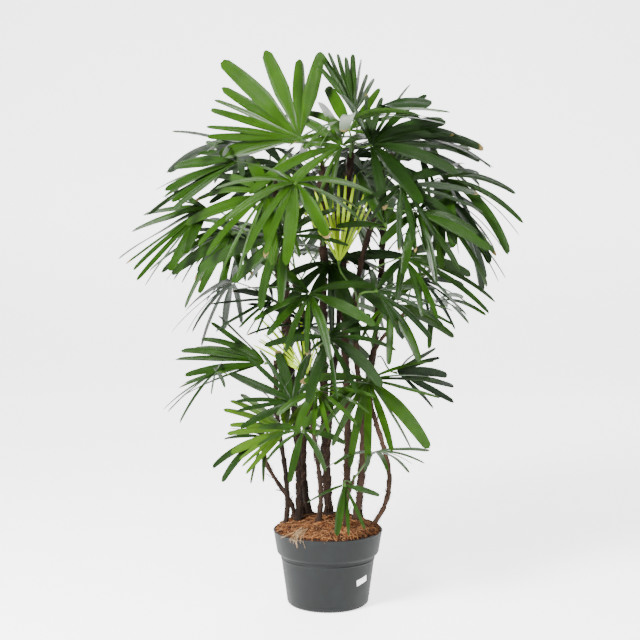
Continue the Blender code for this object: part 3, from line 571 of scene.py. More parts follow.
Grown = namedtuple("Grown", "frond blade rim petiole leaflets room curve")


def grow_leaflets(frond, blade, space, draw, petiole):
    """Return the hub's rim, the leaflets that find room, None where one doesn't, and their room."""
    hub = frond.hub
    forward, left, up = blade
    plan = leaflet_plan(frond, draw)
    angles = [angle for angle, _ in plan]
    gap = frond.spread / (frond.leaflets - 1)
    edges = [max(angles[0] - gap / 2, -HUB_OPENS_AT)]
    edges += [(a + b) / 2 for a, b in zip(angles, angles[1:])]
    edges.append(min(angles[-1] + gap / 2, HUB_OPENS_AT))
    rim = []
    for edge in edges:
        turn = math.radians(edge)
        rim.append(hub + (forward * math.cos(turn) + left * math.sin(turn)) * HUB_RADIUS)
    room = 0.5 * ROOM_AT_HUB * math.radians(gap)
    own = Space()
    near_hub = tuple(a.lerp(b, 0.8) for a, b in zip(petiole[-2], petiole[-1]))
    own.add("petiole", *closed_strip(petiole[:-1] + [near_hub]))
    kept = []
    for index, (_, planned) in enumerate(plan):
        corners = (rim[index + 1], rim[index], rim[index].lerp(rim[index + 1], 0.5) - up * HUB_KEEL)
        middle = (corners[0] + corners[1] + corners[2]) / 3
        root = tuple(middle.lerp(corner, 0.8) for corner in corners)
        found = None
        for leaflet in variants(planned):
            run = closed_strip([root] + leaflet_sections(hub, up, leaflet, room, LEAFLET_CLEARANCE))
            if space.free(*run) and own.free(*run):
                found = leaflet
                own.add("leaflet", *run)
                break
        kept.append(found)
    return rim, kept, room


def frond_shape(grown):
    """Return the points and faces of one frond as a single closed shape."""
    up = grown.blade[2]
    hub = grown.frond.hub
    verts = [hub.copy(), hub - up * HUB_DEPTH]
    verts += grown.rim
    faces = []
    for index, leaflet in enumerate(grown.leaflets):
        a, b = 2 + index, 3 + index
        middle = (verts[a] + verts[b]) / 2
        keel = len(verts)
        verts.append(middle - up * HUB_KEEL)
        faces += [(0, a, b), (1, keel, a), (1, b, keel)]
        if leaflet is None:
            faces.append((a, keel, b))
            continue
        first = len(verts)
        for ring in leaflet_sections(hub, up, leaflet, grown.room):
            verts += list(ring)
        left_edge, right_edge, far_keel = first, first + 1, first + 2
        faces += [(b, a, right_edge), (b, right_edge, left_edge)]
        faces += [(a, keel, far_keel), (a, far_keel, right_edge)]
        faces += [(keel, b, left_edge), (keel, left_edge, far_keel)]
        faces += strip_faces(first, len(LEAFLET_STATIONS) - 1)
    right_rim, left_rim = 2, 2 + len(grown.leaflets)
    first = len(verts)
    for ring in reversed(grown.petiole):
        verts += list(ring)
    back_left, back_right, back_keel = first, first + 1, first + 2
    faces += [(0, left_rim, back_left), (1, back_left, left_rim)]
    faces += [(0, back_right, right_rim), (1, right_rim, back_right)]
    faces += [(0, back_left, back_right)]
    faces += [(1, back_keel, back_left), (1, back_right, back_keel)]
    faces += strip_faces(first, len(grown.petiole) - 1)
    return verts, faces


def foot_on_cane(trees, curves, frond):
    """Return a frond's foot on its cane, with the outward and sideways directions there."""
    centre = bezier(curves[frond.cane], frond.up)[0]
    out = bearing_vector(frond.bearing)
    hit, normal = trees[frond.cane].find_nearest(centre + out * 0.05)[:2]
    return hit + normal * GAP, normal, UP.cross(normal).normalized()


def grow_frond(frond, foot_data, space, draw, ignore, sunk):
    """Return a frond grown into the room that is left, or None."""
    foot, out, across = foot_data
    for nudge in NUDGES:
        moved = frond._replace(hub=frond.hub + Vector(nudge))
        blade = blade_axes(moved)
        curve = petiole_curve(foot, out, moved.hub, blade)
        if abs(petiole_twist(curve, across, blade[1], PETIOLE_STEPS)) > math.pi / 2:
            moved = moved._replace(face=-moved.face)
            blade = blade_axes(moved)
            curve = petiole_curve(foot, out, moved.hub, blade)
        petiole = petiole_sections(curve, out, across, blade, PETIOLE_STEPS, sunk)
        if not space.free(*closed_strip(petiole), ignore):
            continue
        rim, leaflets, room = grow_leaflets(moved, blade, space, draw, petiole)
        if sum(leaflet is not None for leaflet in leaflets) < FEWEST_LEAFLETS:
            continue
        grown = Grown(moved, blade, rim, petiole, leaflets, room, curve)
        shape = frond_shape(grown)
        if not meets_itself(*shape) and space.free(*shape, ignore):
            return grown
    return None


# How many fronds the rule adds to each cane, in its crown and below it, and the bearing that
# they turn to, so that the sides and the back are as full as the front
Fill = namedtuple("Fill", "crown below bearing")
FILL = {
    "cane_1": Fill(1, 0, 140),
    "cane_2": Fill(1, 1, 150),
    "cane_3": Fill(1, 1, 115),
    "cane_4": Fill(3, 2, 110),
    "cane_5": Fill(1, 1, 80),
    "cane_6": Fill(1, 1, 60),
    "cane_7": Fill(0, 0, 20),
    "cane_8": Fill(1, 1, 85),
    "cane_9": Fill(1, 0, -150),
    "cane_10": Fill(1, 0, 40),
    "cane_11": Fill(3, 3, 135),
    "cane_12": Fill(3, 3, 45),
    "cane_13": Fill(3, 2, 92),
}
GOLDEN_ANGLE = 137.5
# The added fronds are full-sized from this height of cane up, and each of those below the crown
# stands this share of the cane's length under the one before
FULL_HEIGHT = 1.05
LOWER_BY = 0.065
# How far the added fronds reach out and rise from their foot, and how far their faces lean over:
# those in the crown, then those below it
CROWN_REACH = (0.08, 0.15)
CROWN_RISE = (0.06, 0.12)
CROWN_LEAN = (-45, 20)
LOWER_REACH = 0.19
LOWER_RISE = (0.10, 0.17)
LOWER_LEAN = (25, 60)
# The spread, the length and the droop of their leaflets
ADDED_SPREAD = (190, 230)
ADDED_LENGTH = (0.24, 0.28)
ADDED_DROOP = (0.20, 0.35)


def shown_fronds(axes, curves):
    """Return the fronds of the table, each with its directions."""
    made = []
    for row in SHOWN:
        hub = Vector(row.hub)
        foot = axes[row.cane][1] if row.up == 1.0 else bezier(curves[row.cane], row.up)[0]
        away = hub - foot
        angle = math.radians(row.points)
        aim = Vector((math.cos(angle), 0.0, math.sin(angle)))
        bearing = math.degrees(math.atan2(away.y, away.x))
        face = leaning(row.faces, row.leans)
        made.append(Frond(row.cane, row.up, bearing, hub, aim, face,
                          row.spread, row.leaflets, row.length, row.droop))
    return made


def fill_fronds(name, axes, curves):
    """Return the fronds that the rule adds to a cane, the crown's first."""
    fill = FILL[name]
    draw = random.Random(f"{SEED} {name}")
    size = 0.50 + 0.50 * min(1.0, CANES[name].tip[2] / FULL_HEIGHT)
    made = []
    for index in range(fill.crown + fill.below):
        lower = max(0, index - fill.crown + 1)
        up = 1.0 - LOWER_BY * lower
        bearing = fill.bearing + (index * GOLDEN_ANGLE) % 200 - 100 + draw.uniform(-12, 12)
        reach = size * (LOWER_REACH + 0.03 * lower if lower else draw.uniform(*CROWN_REACH))
        rise = size * draw.uniform(*(LOWER_RISE if lower else CROWN_RISE))
        foot = bezier(curves[name], up)[0] if lower else axes[name][1]
        lean = draw.uniform(*(LOWER_LEAN if lower else CROWN_LEAN))
        away = bearing_vector(bearing + draw.uniform(-20, 20))
        made.append(Frond(
            cane=name,
            up=up,
            bearing=bearing,
            hub=foot + bearing_vector(bearing) * reach + UP * rise,
            aim=away,
            face=leaning(bearing + draw.uniform(-40, 40), lean),
            spread=draw.uniform(*ADDED_SPREAD),
            leaflets=8 if size > 0.8 else 6,
            length=size * draw.uniform(*ADDED_LENGTH),
            droop=draw.uniform(*ADDED_DROOP),
        ))
    return made


Canes = namedtuple("Canes", "curves axes trees space")


def grow_canes(mix):
    """Return the canes' curves, their sheaths' axes, their search trees and the room they take."""
    mix_tree = tree_of(*mix)
    grown = Canes({}, {}, {}, Space())
    grown.space.add("potting_mix", *mix)
    for name, cane in CANES.items():
        height = top_of(mix[0], mix_tree, cane.foot, cane.foot_radius * FLARE * 1.1) + 2 * GAP
        curve = cane_curve(cane, height)
        shape = cane_shape(cane, curve)
        verts, faces, base, top = sheath_shape(cane, curve)
        grown.curves[name] = curve
        grown.axes[name] = (base, top)
        grown.trees[name] = tree_of(*shape)
        grown.space.add(name, *shape)
        grown.space.add(f"{name}_sheath", verts, faces)
    return grown


def grow_fronds(canes):
    """Return the fronds of each crown by the cane's name, and the single fronds by their own."""
    wanted = shown_fronds(canes.axes, canes.curves)
    for name in CANES:
        wanted += fill_fronds(name, canes.axes, canes.curves)
    draw = random.Random(SEED)
    crowns = {name: [] for name in CANES}
    counts = {name: 0 for name in CANES}
    singles = {}
    for frond in wanted:
        name = frond.cane
        sheath = f"{name}_sheath"
        in_crown = frond.up == 1.0
        if in_crown:
            base, top = canes.axes[name]
            foot = base.lerp(top, SHEATH_ROOTS[len(crowns[name])])
            out = bearing_vector(frond.bearing)
            grown = grow_frond(frond, (foot, out, UP.cross(out)), canes.space, draw, (sheath,), True)
        else:
            foot_data = foot_on_cane(canes.trees, canes.curves, frond)
            grown = grow_frond(frond, foot_data, canes.space, draw, (), False)
        if grown is None or (not in_crown and len(singles) >= MOST_SINGLE_FRONDS):
            continue
        if in_crown:
            crowns[name].append(grown)
            blade_only = grown._replace(petiole=grown.petiole[-2:])
            canes.space.add(f"{name}_blade", *frond_shape(blade_only))
            canes.space.add(sheath, *closed_strip(grown.petiole[:-1]))
        else:
            counts[name] += 1
            singles[f"{name}_frond_{counts[name]}"] = grown
            canes.space.add(f"{name}_frond", *frond_shape(grown))
    return crowns, singles


# Finer leaflets: rows along and columns across a blade, and its outline from hub to blunt tip
BLADE_ROWS = 15
BLADE_COLUMNS = 9
BLADE_STATIONS = 22
BLADE_STARTS = 0.006
BLADE_BASE = 0.36
BLADE_WIDEST = 0.46
BLADE_TIP = 0.55
TIP_ROUNDING = 0.045
TIP_TOOTH = 0.018
# The stations run a little past the tip, and the blade curls down from this share of its length
BLADE_REACH = 1.05
CURL_FROM = 0.55
# The base is folded up to this share of its length, and a little of the fold is kept to the tip
FOLD_ENDS = 0.45
FOLD_KEPT = (0.15, 0.45)
# How far a blade curls down, arches and ripples, and the radians of its ripple
CURLS = (-0.05, 0.15)
ARCHES = (0.10, 0.34)
RIPPLE = 0.05
RIPPLE_TURNS = (5.0, 11.0)
# Half the width that a blade may always have, however crowded its hub is
HUB_HALF = 0.0015
# The shares of leaflets that have a dry tip and that are parted in two, how far each of the two
# swings out, as a share of the gap to the next leaflet, and the share of the room that it keeps
DRY_TIPS = 0.09
PAIRED_LEAFLETS = 0.30
PARTING = 0.24
PARTED_ROOM = 0.6
# A dry tip starts between these shares of its leaflet, and is this much thicker than the blade
DRY_FROM = (0.93, 0.975)
DRY_ROWS = 4
DRY_THICKNESS = 1.8
# Young fronds are spread less than this, and all their leaflets are parted
YOUNG_SPREAD = 70.0
# The width of each of the two, on lit fronds and on the others, as a share of the whole leaflet
STRIP_WIDTH = 0.23
PARTED_WIDTH = 0.54
# Finer leaflets are this much broader than the solids', and crowd each other this much more
BLADE_BREADTH = 1.10
BLADE_CROWDING = 1.25
# How far a leaflet rolls about its rib, as a spread in radians
BLADE_ROLL = 0.38
PETIOLE_SIDES = 8
PETIOLE_ROWS = 14

# Finer canes: a row of relief every few millimetres, how deep they stand in the mix, the sleeves
# of old sheaths, and how far a cane swells under a single frond, over what length
BARK_SIDES = 20
BARK_STEP = 0.0040
CANE_SINKS = 0.008
SLEEVE_LENGTH = 0.048
SLEEVE_FLARE = 0.34
SLEEVE_RAGGED = 0.022
BARK_LEVEL = 0.88
FIBRE_RELIEF = 0.13
LUMP_RELIEF = 0.10
SWELL = 0.0028
SWELL_LENGTH = 0.05
FIBRE_RADIUS = 0.00035
STUB_RADIUS = 0.0013

# Finer pot and potting mix, and the label's place on the pot
TURNED_SIDES = 144
POT_ROUNDING = 0.0022
HEAP_RINGS = 46
HEAP_SIDES = 150
HEAP_CLEARANCE = 0.0008
HEAP_UNDERSIDE = MIX_EDGE_HEIGHT - 0.03
HEAP_LEVEL = POT_HEIGHT - 0.0025
LABEL_BEARING = -42.0
LABEL_HEIGHT = 0.085
LABEL_TILT = 12.0
LABEL_GRID = (5, 13)
# Strands of the potting mix start this share of their length inside the pot's rim
STRAND_MARGIN = 0.38
STRAW_BEARING = -127.0
STRAW_ROWS = 9
STRAW_SIDES = 5

# The camera stands where the photograph's did: its lens gives 1032 pixels to a metre at 1 m
CAMERA_PLACE = (-0.023, -3.0, 0.924)
CAMERA_AIM = (-0.023, 0.0, 0.825)
SENSOR_WIDTH = 36.0
CAMERA_LENS = SENSOR_WIDTH * 1032 / 640
BACKDROP_BEND = 1.6
BEND_STEPS = 12
SKY = 0.45
# The soft lights: where each stands, the height that it looks to and its size
LIGHTS = {
    "key": ((-2.2, -2.6, 3.2), 0.9, 1.2),
    "fill": ((2.8, -2.0, 1.8), 0.8, 2.0),
    "back": ((1.4, 3.2, 4.2), 0.9, 1.6),
}

# Base colours of the dry parts and of the petioles
HEAP_COLOR = (0.030, 0.011, 0.005)
STRAND_COLORS = {
    "pale": (0.200, 0.092, 0.036), "orange": (0.105, 0.036, 0.011), "dark": (0.018, 0.007, 0.004)}
STRAW_COLOR = (0.28, 0.185, 0.100)
FIBRE_COLOR = (0.055, 0.030, 0.018)
STUB_COLOR = (0.034, 0.019, 0.012)
DRY_COLOR = (0.150, 0.105, 0.040)
PETIOLE_COLOR = (0.034, 0.080, 0.010)

# Leaf shades: the record's slot, the base colour and the roughness of each.
# Lit is painted light: the pale yellow-green of leaflets with the light shining through them.
# Shade and deep, the darkest greens, are dealt mostly inside and at the back as painted shade.
Shade = namedtuple("Shade", "slot color roughness")
SHADES = {
    "shade": Shade("leaf_dark", (0.0042, 0.0165, 0.0010), 0.36),
    "deep": Shade("leaf_dark", (0.0065, 0.0230, 0.0010), 0.33),
    "green": Shade("leaf_green", (0.0105, 0.0340, 0.0012), 0.28),
    "fresh": Shade("leaf_green", (0.0165, 0.0490, 0.0014), 0.28),
    "lime": Shade("leaf_lime", (0.0380, 0.0880, 0.0026), 0.33),
    "lit": Shade("leaf_lime", (0.3100, 0.4700, 0.0120), 0.40),
}
# How the shades are dealt, at the back, inside and at the front of the plant: the darker greens at the
# back and inside are painted shade
BACK_SHADES = ("shade", "shade", "deep", "green")
INNER_SHADES = ("shade", "deep", "deep", "green", "green")
FRONT_SHADES = ("deep", "deep", "green", "green", "fresh", "fresh")
# Front fronds with their hub below this are dealt the inner shades, darker as painted shade
LOW_FRONDS = 0.45
# Fronds whose shade is set, by their cane and height on it: the lit ones get the lit shade, the light
# coming through them painted on
SET_SHADES = {
    ("cane_7", 0.80): "lit", ("cane_4", 0.70): "lit", ("cane_2", 0.72): "lime",
    ("cane_5", 1.0): "fresh", ("cane_3", 1.0): "green", ("cane_3", 0.90): "green",
    ("cane_8", 0.76): "fresh", ("cane_9", 0.84): "deep", ("cane_10", 1.0): "green",
}
# The share of a lit frond's strips that stay green, without the painted light
SHADED_STRIPS = 0.2


def tint(name, description, default):
    """Return the property of a colour."""
    return FloatVectorProperty(
        name=name, description=description, default=default, size=3, subtype="COLOR", min=0.0, max=1.0)


def metres(name, description, default):
    """Return the property of a length."""
    return FloatProperty(name=name, description=description, default=default, unit="LENGTH")


def number(name, description, default, most=10000.0):
    """Return the property of a number from zero up."""
    return FloatProperty(name=name, description=description, default=default, min=0.0, max=most)


def count(name, description, default, fewest=0):
    """Return the property of a whole number."""
    return IntProperty(name=name, description=description, default=default, min=fewest)


class PotSizes(bpy.types.PropertyGroup):
    """Finish of the nursery pot and its label."""

    color: tint("Plastic", "Colour of the pot's plastic", (0.0040, 0.0050, 0.0052))
    label_width: metres("Label width", "Width of the blank label on the pot", 0.042)
    label_height: metres("Label height", "Height of the blank label on the pot", 0.0175)


class MixSizes(bpy.types.PropertyGroup):
    """Strands of the potting mix."""

    strand_length: metres("Strand length", "Length of a strand of fibre on the heap", 0.030)
    strand_radius: metres("Strand radius", "Radius of a strand of fibre on the heap", 0.00085)
    strands: count("Strands", "Strands of each colour to a square metre", 34000)
    straws: count("Straws", "Stalks of straw that hang over the rim", 22, fewest=1)


class CaneSizes(bpy.types.PropertyGroup):
    """Bark, fibres and stubs of the canes."""

    color: tint("Bark", "Colour of the canes' sleeves of old sheath", (0.0165, 0.0090, 0.0058))
    fibre_length: metres("Fibre length", "Length of a loose fibre on a cane", 0.020)
    fibres: count("Fibres", "Loose fibres to a square metre of cane", 6000)
    stub_length: metres("Stub length", "Length of a broken stub of an old leaf stalk", 0.030)
    stubs: count("Stubs", "Broken stubs to a square metre of cane", 420)


class LeafSizes(bpy.types.PropertyGroup):
    """Thickness and folds of the leaflets."""

    thickness: metres("Thickness", "Thickness of a leaflet", 0.0007)
    pleat: number("Pleat", "Depth of a leaflet's pleats, as a share of its half width", 0.10, most=0.3)
    fold: number("Fold", "How steeply a leaflet's base is folded", 0.75, most=1.5)


class StageSizes(bpy.types.PropertyGroup):
    """Floor and light."""

    floor_size: metres("Floor", "Side of the floor", 14.0)
    glow: number("Glow", "How much light the floor and the backdrop give off", 2.2)
    key_watts: number("Key light", "Power of the soft light above and to the left", 850.0)
    fill_watts: number("Fill light", "Power of the soft light from the right", 50.0)
    back_watts: number("Back light", "Power of the soft light above and behind", 70.0)


class PalmSizes(bpy.types.PropertyGroup):
    """Everything that a user of this plant would change."""

    pot: PointerProperty(type=PotSizes)
    mix: PointerProperty(type=MixSizes)
    canes: PointerProperty(type=CaneSizes)
    leaves: PointerProperty(type=LeafSizes)
    stage: PointerProperty(type=StageSizes)


# Making and finishing meshes


class Heap:
    """Points, faces and their places on the surface, gathered into one mesh."""

    def __init__(self):
        self.points = []
        self.faces = []
        self.spots = []
        self.count = 0

    def add(self, points, faces, spots):
        """Add one shape: its points, its faces, and two surface coordinates a point."""
        self.points.append(np.asarray(points, dtype=np.float64).reshape(-1, 3))
        self.spots.append(np.asarray(spots, dtype=np.float64).reshape(-1, 2))
        self.faces += [tuple(corner + self.count for corner in face) for face in faces]
        self.count += len(self.points[-1])

    def add_rod(self, rings, along):
        """Add a closed rod: its rings of points, and how far along it each of them lies."""
        sides = len(rings[0])
        spots = [(side / sides, place) for place in along for side in range(sides)]
        self.add(*rod(rings, sides), spots)

    def piece(self, name, finish):
        """Return one object of all the shapes."""
        points, spots = np.concatenate(self.points), np.concatenate(self.spots)
        return mesh_object(name, points, self.faces, finish, spots)


def new_object(name, data):
    """Return a new object of a mesh, a light or a camera, linked to the scene."""
    made = bpy.data.objects.new(name, data)
    bpy.context.scene.collection.objects.link(made)
    return made


def mesh_object(name, points, faces, finish, spots=None, sharp_above=55.0):
    """Return a smooth shaded object, sharp where it turns more than an angle."""
    mesh = bpy.data.meshes.new(name)
    mesh.from_pydata([tuple(point) for point in points], [], faces)
    if spots is not None:
        corners = np.empty(len(mesh.loops), dtype=np.int32)
        mesh.loops.foreach_get("vertex_index", corners)
        layer = mesh.uv_layers.new(name="surface")
        layer.data.foreach_set("uv", np.asarray(spots, dtype=np.float32)[corners].ravel())
    mesh.shade_smooth()
    mesh.set_sharp_from_angle(angle=math.radians(sharp_above))
    mesh.materials.append(finish)
    return new_object(name, mesh)


def finish_piece(piece, slot, nodes=()):
    """Let a piece ride on the plant's body and hide the solids that it stands for. Its slot is not used.
    """
    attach(piece, BODY)
    if nodes:
        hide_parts(*nodes)


def outward(piece):
    """Turn a closed mesh's faces out."""
    work = bmesh.new()
    work.from_mesh(piece.data)
    bmesh.ops.recalc_face_normals(work, faces=work.faces)
    work.to_mesh(piece.data)
    work.free()


# Node trees and materials


def added(tree, kind, inputs, **settings):
    """Add a node, link each input that is given a socket and set the others, return its outputs."""
    made = tree.nodes.new(kind)
    for name, value in settings.items():
        setattr(made, name, value)
    for name, value in inputs.items():
        if isinstance(value, bpy.types.NodeSocket):
            tree.links.new(value, made.inputs[name])
        else:
            made.inputs[name].default_value = value
    return made.outputs


def new_material(name, color, roughness, gloss=0.15):
    """Return a material, its node tree and its shader."""
    made = bpy.data.materials.new(name)
    made.use_nodes = True
    made.diffuse_color = (*color, 1.0)
    shader = made.node_tree.nodes["Principled BSDF"]
    shader.inputs["Base Color"].default_value = (*color, 1.0)
    shader.inputs["Roughness"].default_value = roughness
    shader.inputs["Specular IOR Level"].default_value = gloss
    return made, made.node_tree, shader


def scaled_place(tree, scale, source="Object"):
    """Return a socket of texture coordinates, scaled."""
    place = added(tree, "ShaderNodeTexCoord", {})[source]
    return added(tree, "ShaderNodeMapping", {"Vector": place, "Scale": scale})["Vector"]


def noise_at(tree, scale, detail, rough=0.55):
    """Return the value socket of a noise texture."""
    place = scaled_place(tree, scale)
    inputs = {"Vector": place, "Scale": 1.0, "Detail": detail, "Roughness": rough}
    return added(tree, "ShaderNodeTexNoise", inputs)["Fac"]


def mottled(tree, shader, share, color, tones):
    """Let a shader's colour run through tones of one colour, each a place and a factor."""
    ramp = tree.nodes.new("ShaderNodeValToRGB")
    elements = ramp.color_ramp.elements
    while len(elements) < len(tones):
        elements.new(0.5)
    for element, (place, factor) in zip(elements, tones):
        element.position = place
        element.color = (*(min(1.0, channel * factor) for channel in color), 1.0)
    tree.links.new(share, ramp.inputs["Fac"])
    tree.links.new(ramp.outputs["Color"], shader.inputs["Base Color"])


def bumped(tree, shader, height, strength, distance):
    """Give a shader a bump from a height socket."""
    bump = added(tree, "ShaderNodeBump", {"Height": height, "Strength": strength, "Distance": distance})
    tree.links.new(bump["Normal"], shader.inputs["Normal"])


def leaf_material(name, color, roughness):
    """Glossy leaf: a faint mottle, with fine veins that run along the leaflet."""
    made, tree, shader = new_material(name, color, roughness, gloss=0.20)
    mottle = noise_at(tree, (14.0, 14.0, 14.0), 3.0)
    mottled(tree, shader, mottle, color, ((0.30, 0.78), (0.55, 1.0), (0.75, 1.28)))
    place = scaled_place(tree, (1.0, 0.05, 1.0), "UV")
    inputs = {"Vector": place, "Scale": 5.5, "Distortion": 0.25, "Detail": 2.0}
    veins = added(tree, "ShaderNodeTexWave", inputs, wave_type="BANDS", bands_direction="X")
    bumped(tree, shader, veins["Fac"], 0.60, 0.0012)
    return made


def pot_material(color):
    """Matte moulded plastic with dust in patches and faint upright scuffs."""
    made, tree, shader = new_material("pot_plastic", color, 0.5, gloss=0.20)
    dust = noise_at(tree, (22.0, 22.0, 14.0), 8.0, 0.68)
    mottled(tree, shader, dust, color, ((0.30, 0.60), (0.52, 1.0), (0.74, 1.9)))
    bumped(tree, shader, noise_at(tree, (360.0, 360.0, 96.0), 5.0), 0.22, 0.0008)
    rough = added(tree, "ShaderNodeMapRange", {"Value": dust, "To Min": 0.42, "To Max": 0.72})
    tree.links.new(rough["Result"], shader.inputs["Roughness"])
    return made


def bark_material(color):
    """Brown sleeves of old sheath, darker and greyer from cane to cane, with fibres up the cane."""
    made, tree, shader = new_material("cane_bark", color, 0.85)
    patch = noise_at(tree, (26.0, 26.0, 11.0), 6.0, 0.7)
    cane = noise_at(tree, (11.0, 11.0, 0.9), 1.0)
    fibre = noise_at(tree, (520.0, 520.0, 22.0), 5.0, 0.65)
    mixed = cane
    for layer, weight in ((patch, 0.55), (fibre, 0.40)):
        inputs = {0: layer, 1: weight, 2: mixed}
        mixed = added(tree, "ShaderNodeMath", inputs, operation="MULTIPLY_ADD")["Value"]
    low, high = 0.60, 1.35
    span = added(tree, "ShaderNodeMapRange", {"Value": mixed, "From Min": low, "From Max": high})
    tones = ((0.72, 0.22), (0.94, 1.0), (1.08, 2.0), (1.22, 3.6))
    tones = [((place - low) / (high - low), factor) for place, factor in tones]
    mottled(tree, shader, span["Result"], color, tones)
    bumped(tree, shader, fibre, 0.9, 0.0016)
    return made


def mulch_material(name, color):
    """Dry plant fibre, lighter and darker from strand to strand."""
    made, tree, shader = new_material(name, color, 0.92)
    patch = noise_at(tree, (160.0, 160.0, 160.0), 4.0, 0.7)
    mottled(tree, shader, patch, color, ((0.30, 0.45), (0.52, 1.0), (0.72, 1.55)))
    bumped(tree, shader, patch, 0.6, 0.001)
    return made


def label_material():
    """Plain white paper label."""
    made, tree, shader = new_material("label_paper", (0.86, 0.86, 0.84), 0.6)
    bumped(tree, shader, noise_at(tree, (400.0, 400.0, 400.0), 2.0), 0.1, 0.0002)
    return made


def floor_material(glow):
    """Pale plain floor and backdrop, lit a little from inside so that it stays white."""
    made, tree, shader = new_material("floor_white", (0.93, 0.93, 0.93), 0.6)
    tone = noise_at(tree, (0.7, 0.7, 0.7), 2.0)
    mottled(tree, shader, tone, (1.0, 1.0, 1.0), ((0.3, 0.92), (0.7, 0.94)))
    shader.inputs["Emission Color"].default_value = (1.0, 1.0, 1.0, 1.0)
    shader.inputs["Emission Strength"].default_value = glow
    return made


# The palm, grown as its solids are


@lru_cache(maxsize=None)
def palm():
    """Return the canes, and the fronds with the name of the solid that each is part of."""
    canes = grow_canes(mix_shape())
    crowns, singles = grow_fronds(canes)
    fronds = [(f"{name}_crown", grown) for name, members in crowns.items() for grown in members]
    return canes, fronds + list(singles.items())


# Pot


def softened(profile, radius, steps=3):
    """Return a profile with each inner corner rounded by a short curve."""
    made = [profile[0]]
    for before, corner, after in zip(profile, profile[1:], profile[2:]):
        here = Vector(corner)
        back, ahead = Vector(before) - here, Vector(after) - here
        reach = min(radius, 0.4 * back.length, 0.4 * ahead.length)
        start, end = here + back.normalized() * reach, here + ahead.normalized() * reach
        for step in range(steps + 1):
            t = step / steps
            made.append(tuple(start * (1 - t) ** 2 + here * (2 * t * (1 - t)) + end * t ** 2))
    made.append(profile[-1])
    return made


def make_pot(sizes):
    """Turn the pot with rounded corners."""
    profile = [(0.0, 0.0)] + pot_outline() + pot_inside() + [(0.0, POT_WALL)]
    points, faces = turned(softened(profile, POT_ROUNDING), TURNED_SIDES)
    piece = mesh_object("pot_shell", points, faces, pot_material(tuple(sizes.color)), sharp_above=70.0)
    outward(piece)
    finish_piece(piece, "pot_plastic", ["pot"])


def make_label(sizes):
    """Lay the blank label on the pot's wall, front right, a little askew."""
    tilt = math.radians(LABEL_TILT)
    (low_radius, low), (high_radius, high) = pot_outline()[1:3]
    slope = (high_radius - low_radius) / (high - low)
    rows, columns = LABEL_GRID
    front, back = [], []
    for row in range(rows):
        for column in range(columns):
            x = (column / (columns - 1) - 0.5) * sizes.label_width
            y = (row / (rows - 1) - 0.5) * sizes.label_height
            run = x * math.cos(tilt) - y * math.sin(tilt)
            height = LABEL_HEIGHT + x * math.sin(tilt) + y * math.cos(tilt)
            radius = low_radius + slope * (height - low)
            out = bearing_vector(LABEL_BEARING + math.degrees(run / radius))
            front.append(out * (radius + 0.0006) + UP * height)
            back.append(out * (radius + 0.0001) + UP * height)
    points = sheet_rows(*(np.array(side).reshape(rows, columns, 3) for side in (front, back)))
    piece = mesh_object("pot_label", points, sheet_faces(rows, columns), label_material())
    outward(piece)
    finish_piece(piece, "pot_plastic")


@lru_cache(maxsize=None)
def sheet_faces(rows, columns):
    """Return the faces of a thin sheet: its front grid, and a back grid that shares its rim."""
    def front(row, column):
        return row * columns + column

    def back(row, column):
        if row in (0, rows - 1) or column in (0, columns - 1):
            return front(row, column)
        return rows * columns + (row - 1) * (columns - 2) + column - 1

    faces = []
    for row in range(rows - 1):
        for column in range(columns - 1):
            cell = ((row, column), (row, column + 1), (row + 1, column + 1), (row + 1, column))
            faces.append(tuple(front(*corner) for corner in cell))
            faces.append(tuple(back(*corner) for corner in reversed(cell)))
    return faces


def sheet_rows(front, back):
    """Return a thin sheet's front grid in rows, followed by its back grid without its rim."""
    width = front.shape[-1]
    return np.concatenate([front.reshape(-1, width), back[1:-1, 1:-1].reshape(-1, width)])


def oval_ring(place, side, face, wide, deep, corners):
    """Return an oval ring of points round a place."""
    ring = []
    for corner in range(corners):
        angle = 2 * math.pi * corner / corners
        ring.append(place + side * (math.cos(angle) * wide) + face * (math.sin(angle) * deep))
    return ring


# Potting mix


def heap_height(share, place):
    """Return the height of the heap at a share of its radius."""
    rough = noise.fractal(place * 34.0, 0.8, 2.1, 4) * 0.0035 + noise.noise(place * 14.0) * 0.003
    return HEAP_LEVEL + (MIX_EDGE_HEIGHT + MIX_HEAP - HEAP_LEVEL) * (1.0 - share ** MIX_FALL) + rough


def make_heap(sizes):
    """Make the heaped mix with its lumps, and scatter strands of three colours on it."""
    edge = RIM_RADIUS - LIP_WIDTH - HEAP_CLEARANCE
    points = [UP * heap_height(0.0, Vector())]
    for ring in range(1, HEAP_RINGS + 1):
        share = ring / HEAP_RINGS
        for side in range(HEAP_SIDES):
            place = bearing_vector(360 * side / HEAP_SIDES) * (edge * share)
            points.append(place + UP * heap_height(share, place))
    under = len(points)
    rim = under - HEAP_SIDES
    points += [Vector((p.x * 0.97, p.y * 0.97, HEAP_UNDERSIDE)) for p in points[rim:]]
    points.append(UP * HEAP_UNDERSIDE)
    top, below = [], []
    for side in range(HEAP_SIDES):
        after = (side + 1) % HEAP_SIDES
        top.append((0, 1 + side, 1 + after))
        for low in range(1, rim, HEAP_SIDES):
            high = low + HEAP_SIDES
            top.append((low + side, high + side, high + after, low + after))
        below.append((rim + side, under + side, under + after, rim + after))
        below.append((under + side, len(points) - 1, under + after))
    finish = mulch_material("mulch_heap", HEAP_COLOR)
    soil = mesh_object("potting_mix_heap", points, top + below, finish)
    outward(soil)
    finish_piece(soil, "mulch", ["potting_mix"])
    reach = edge - sizes.strand_length * STRAND_MARGIN
    inner = [face for face in top if points[face[-1]].xy.length < reach]
    ground = mesh_object("heap_top", points, inner, finish)
    for index, (shade, color) in enumerate(STRAND_COLORS.items()):
        strands = scattered(
            f"mulch_strands_{shade}", ground, mulch_material(f"mulch_{shade}", color), sizes.strands,
            sizes.strand_length, sizes.strand_radius, lying=True, seed=SEED + index)
        finish_piece(strands, "mulch")
    bpy.data.objects.remove(ground)


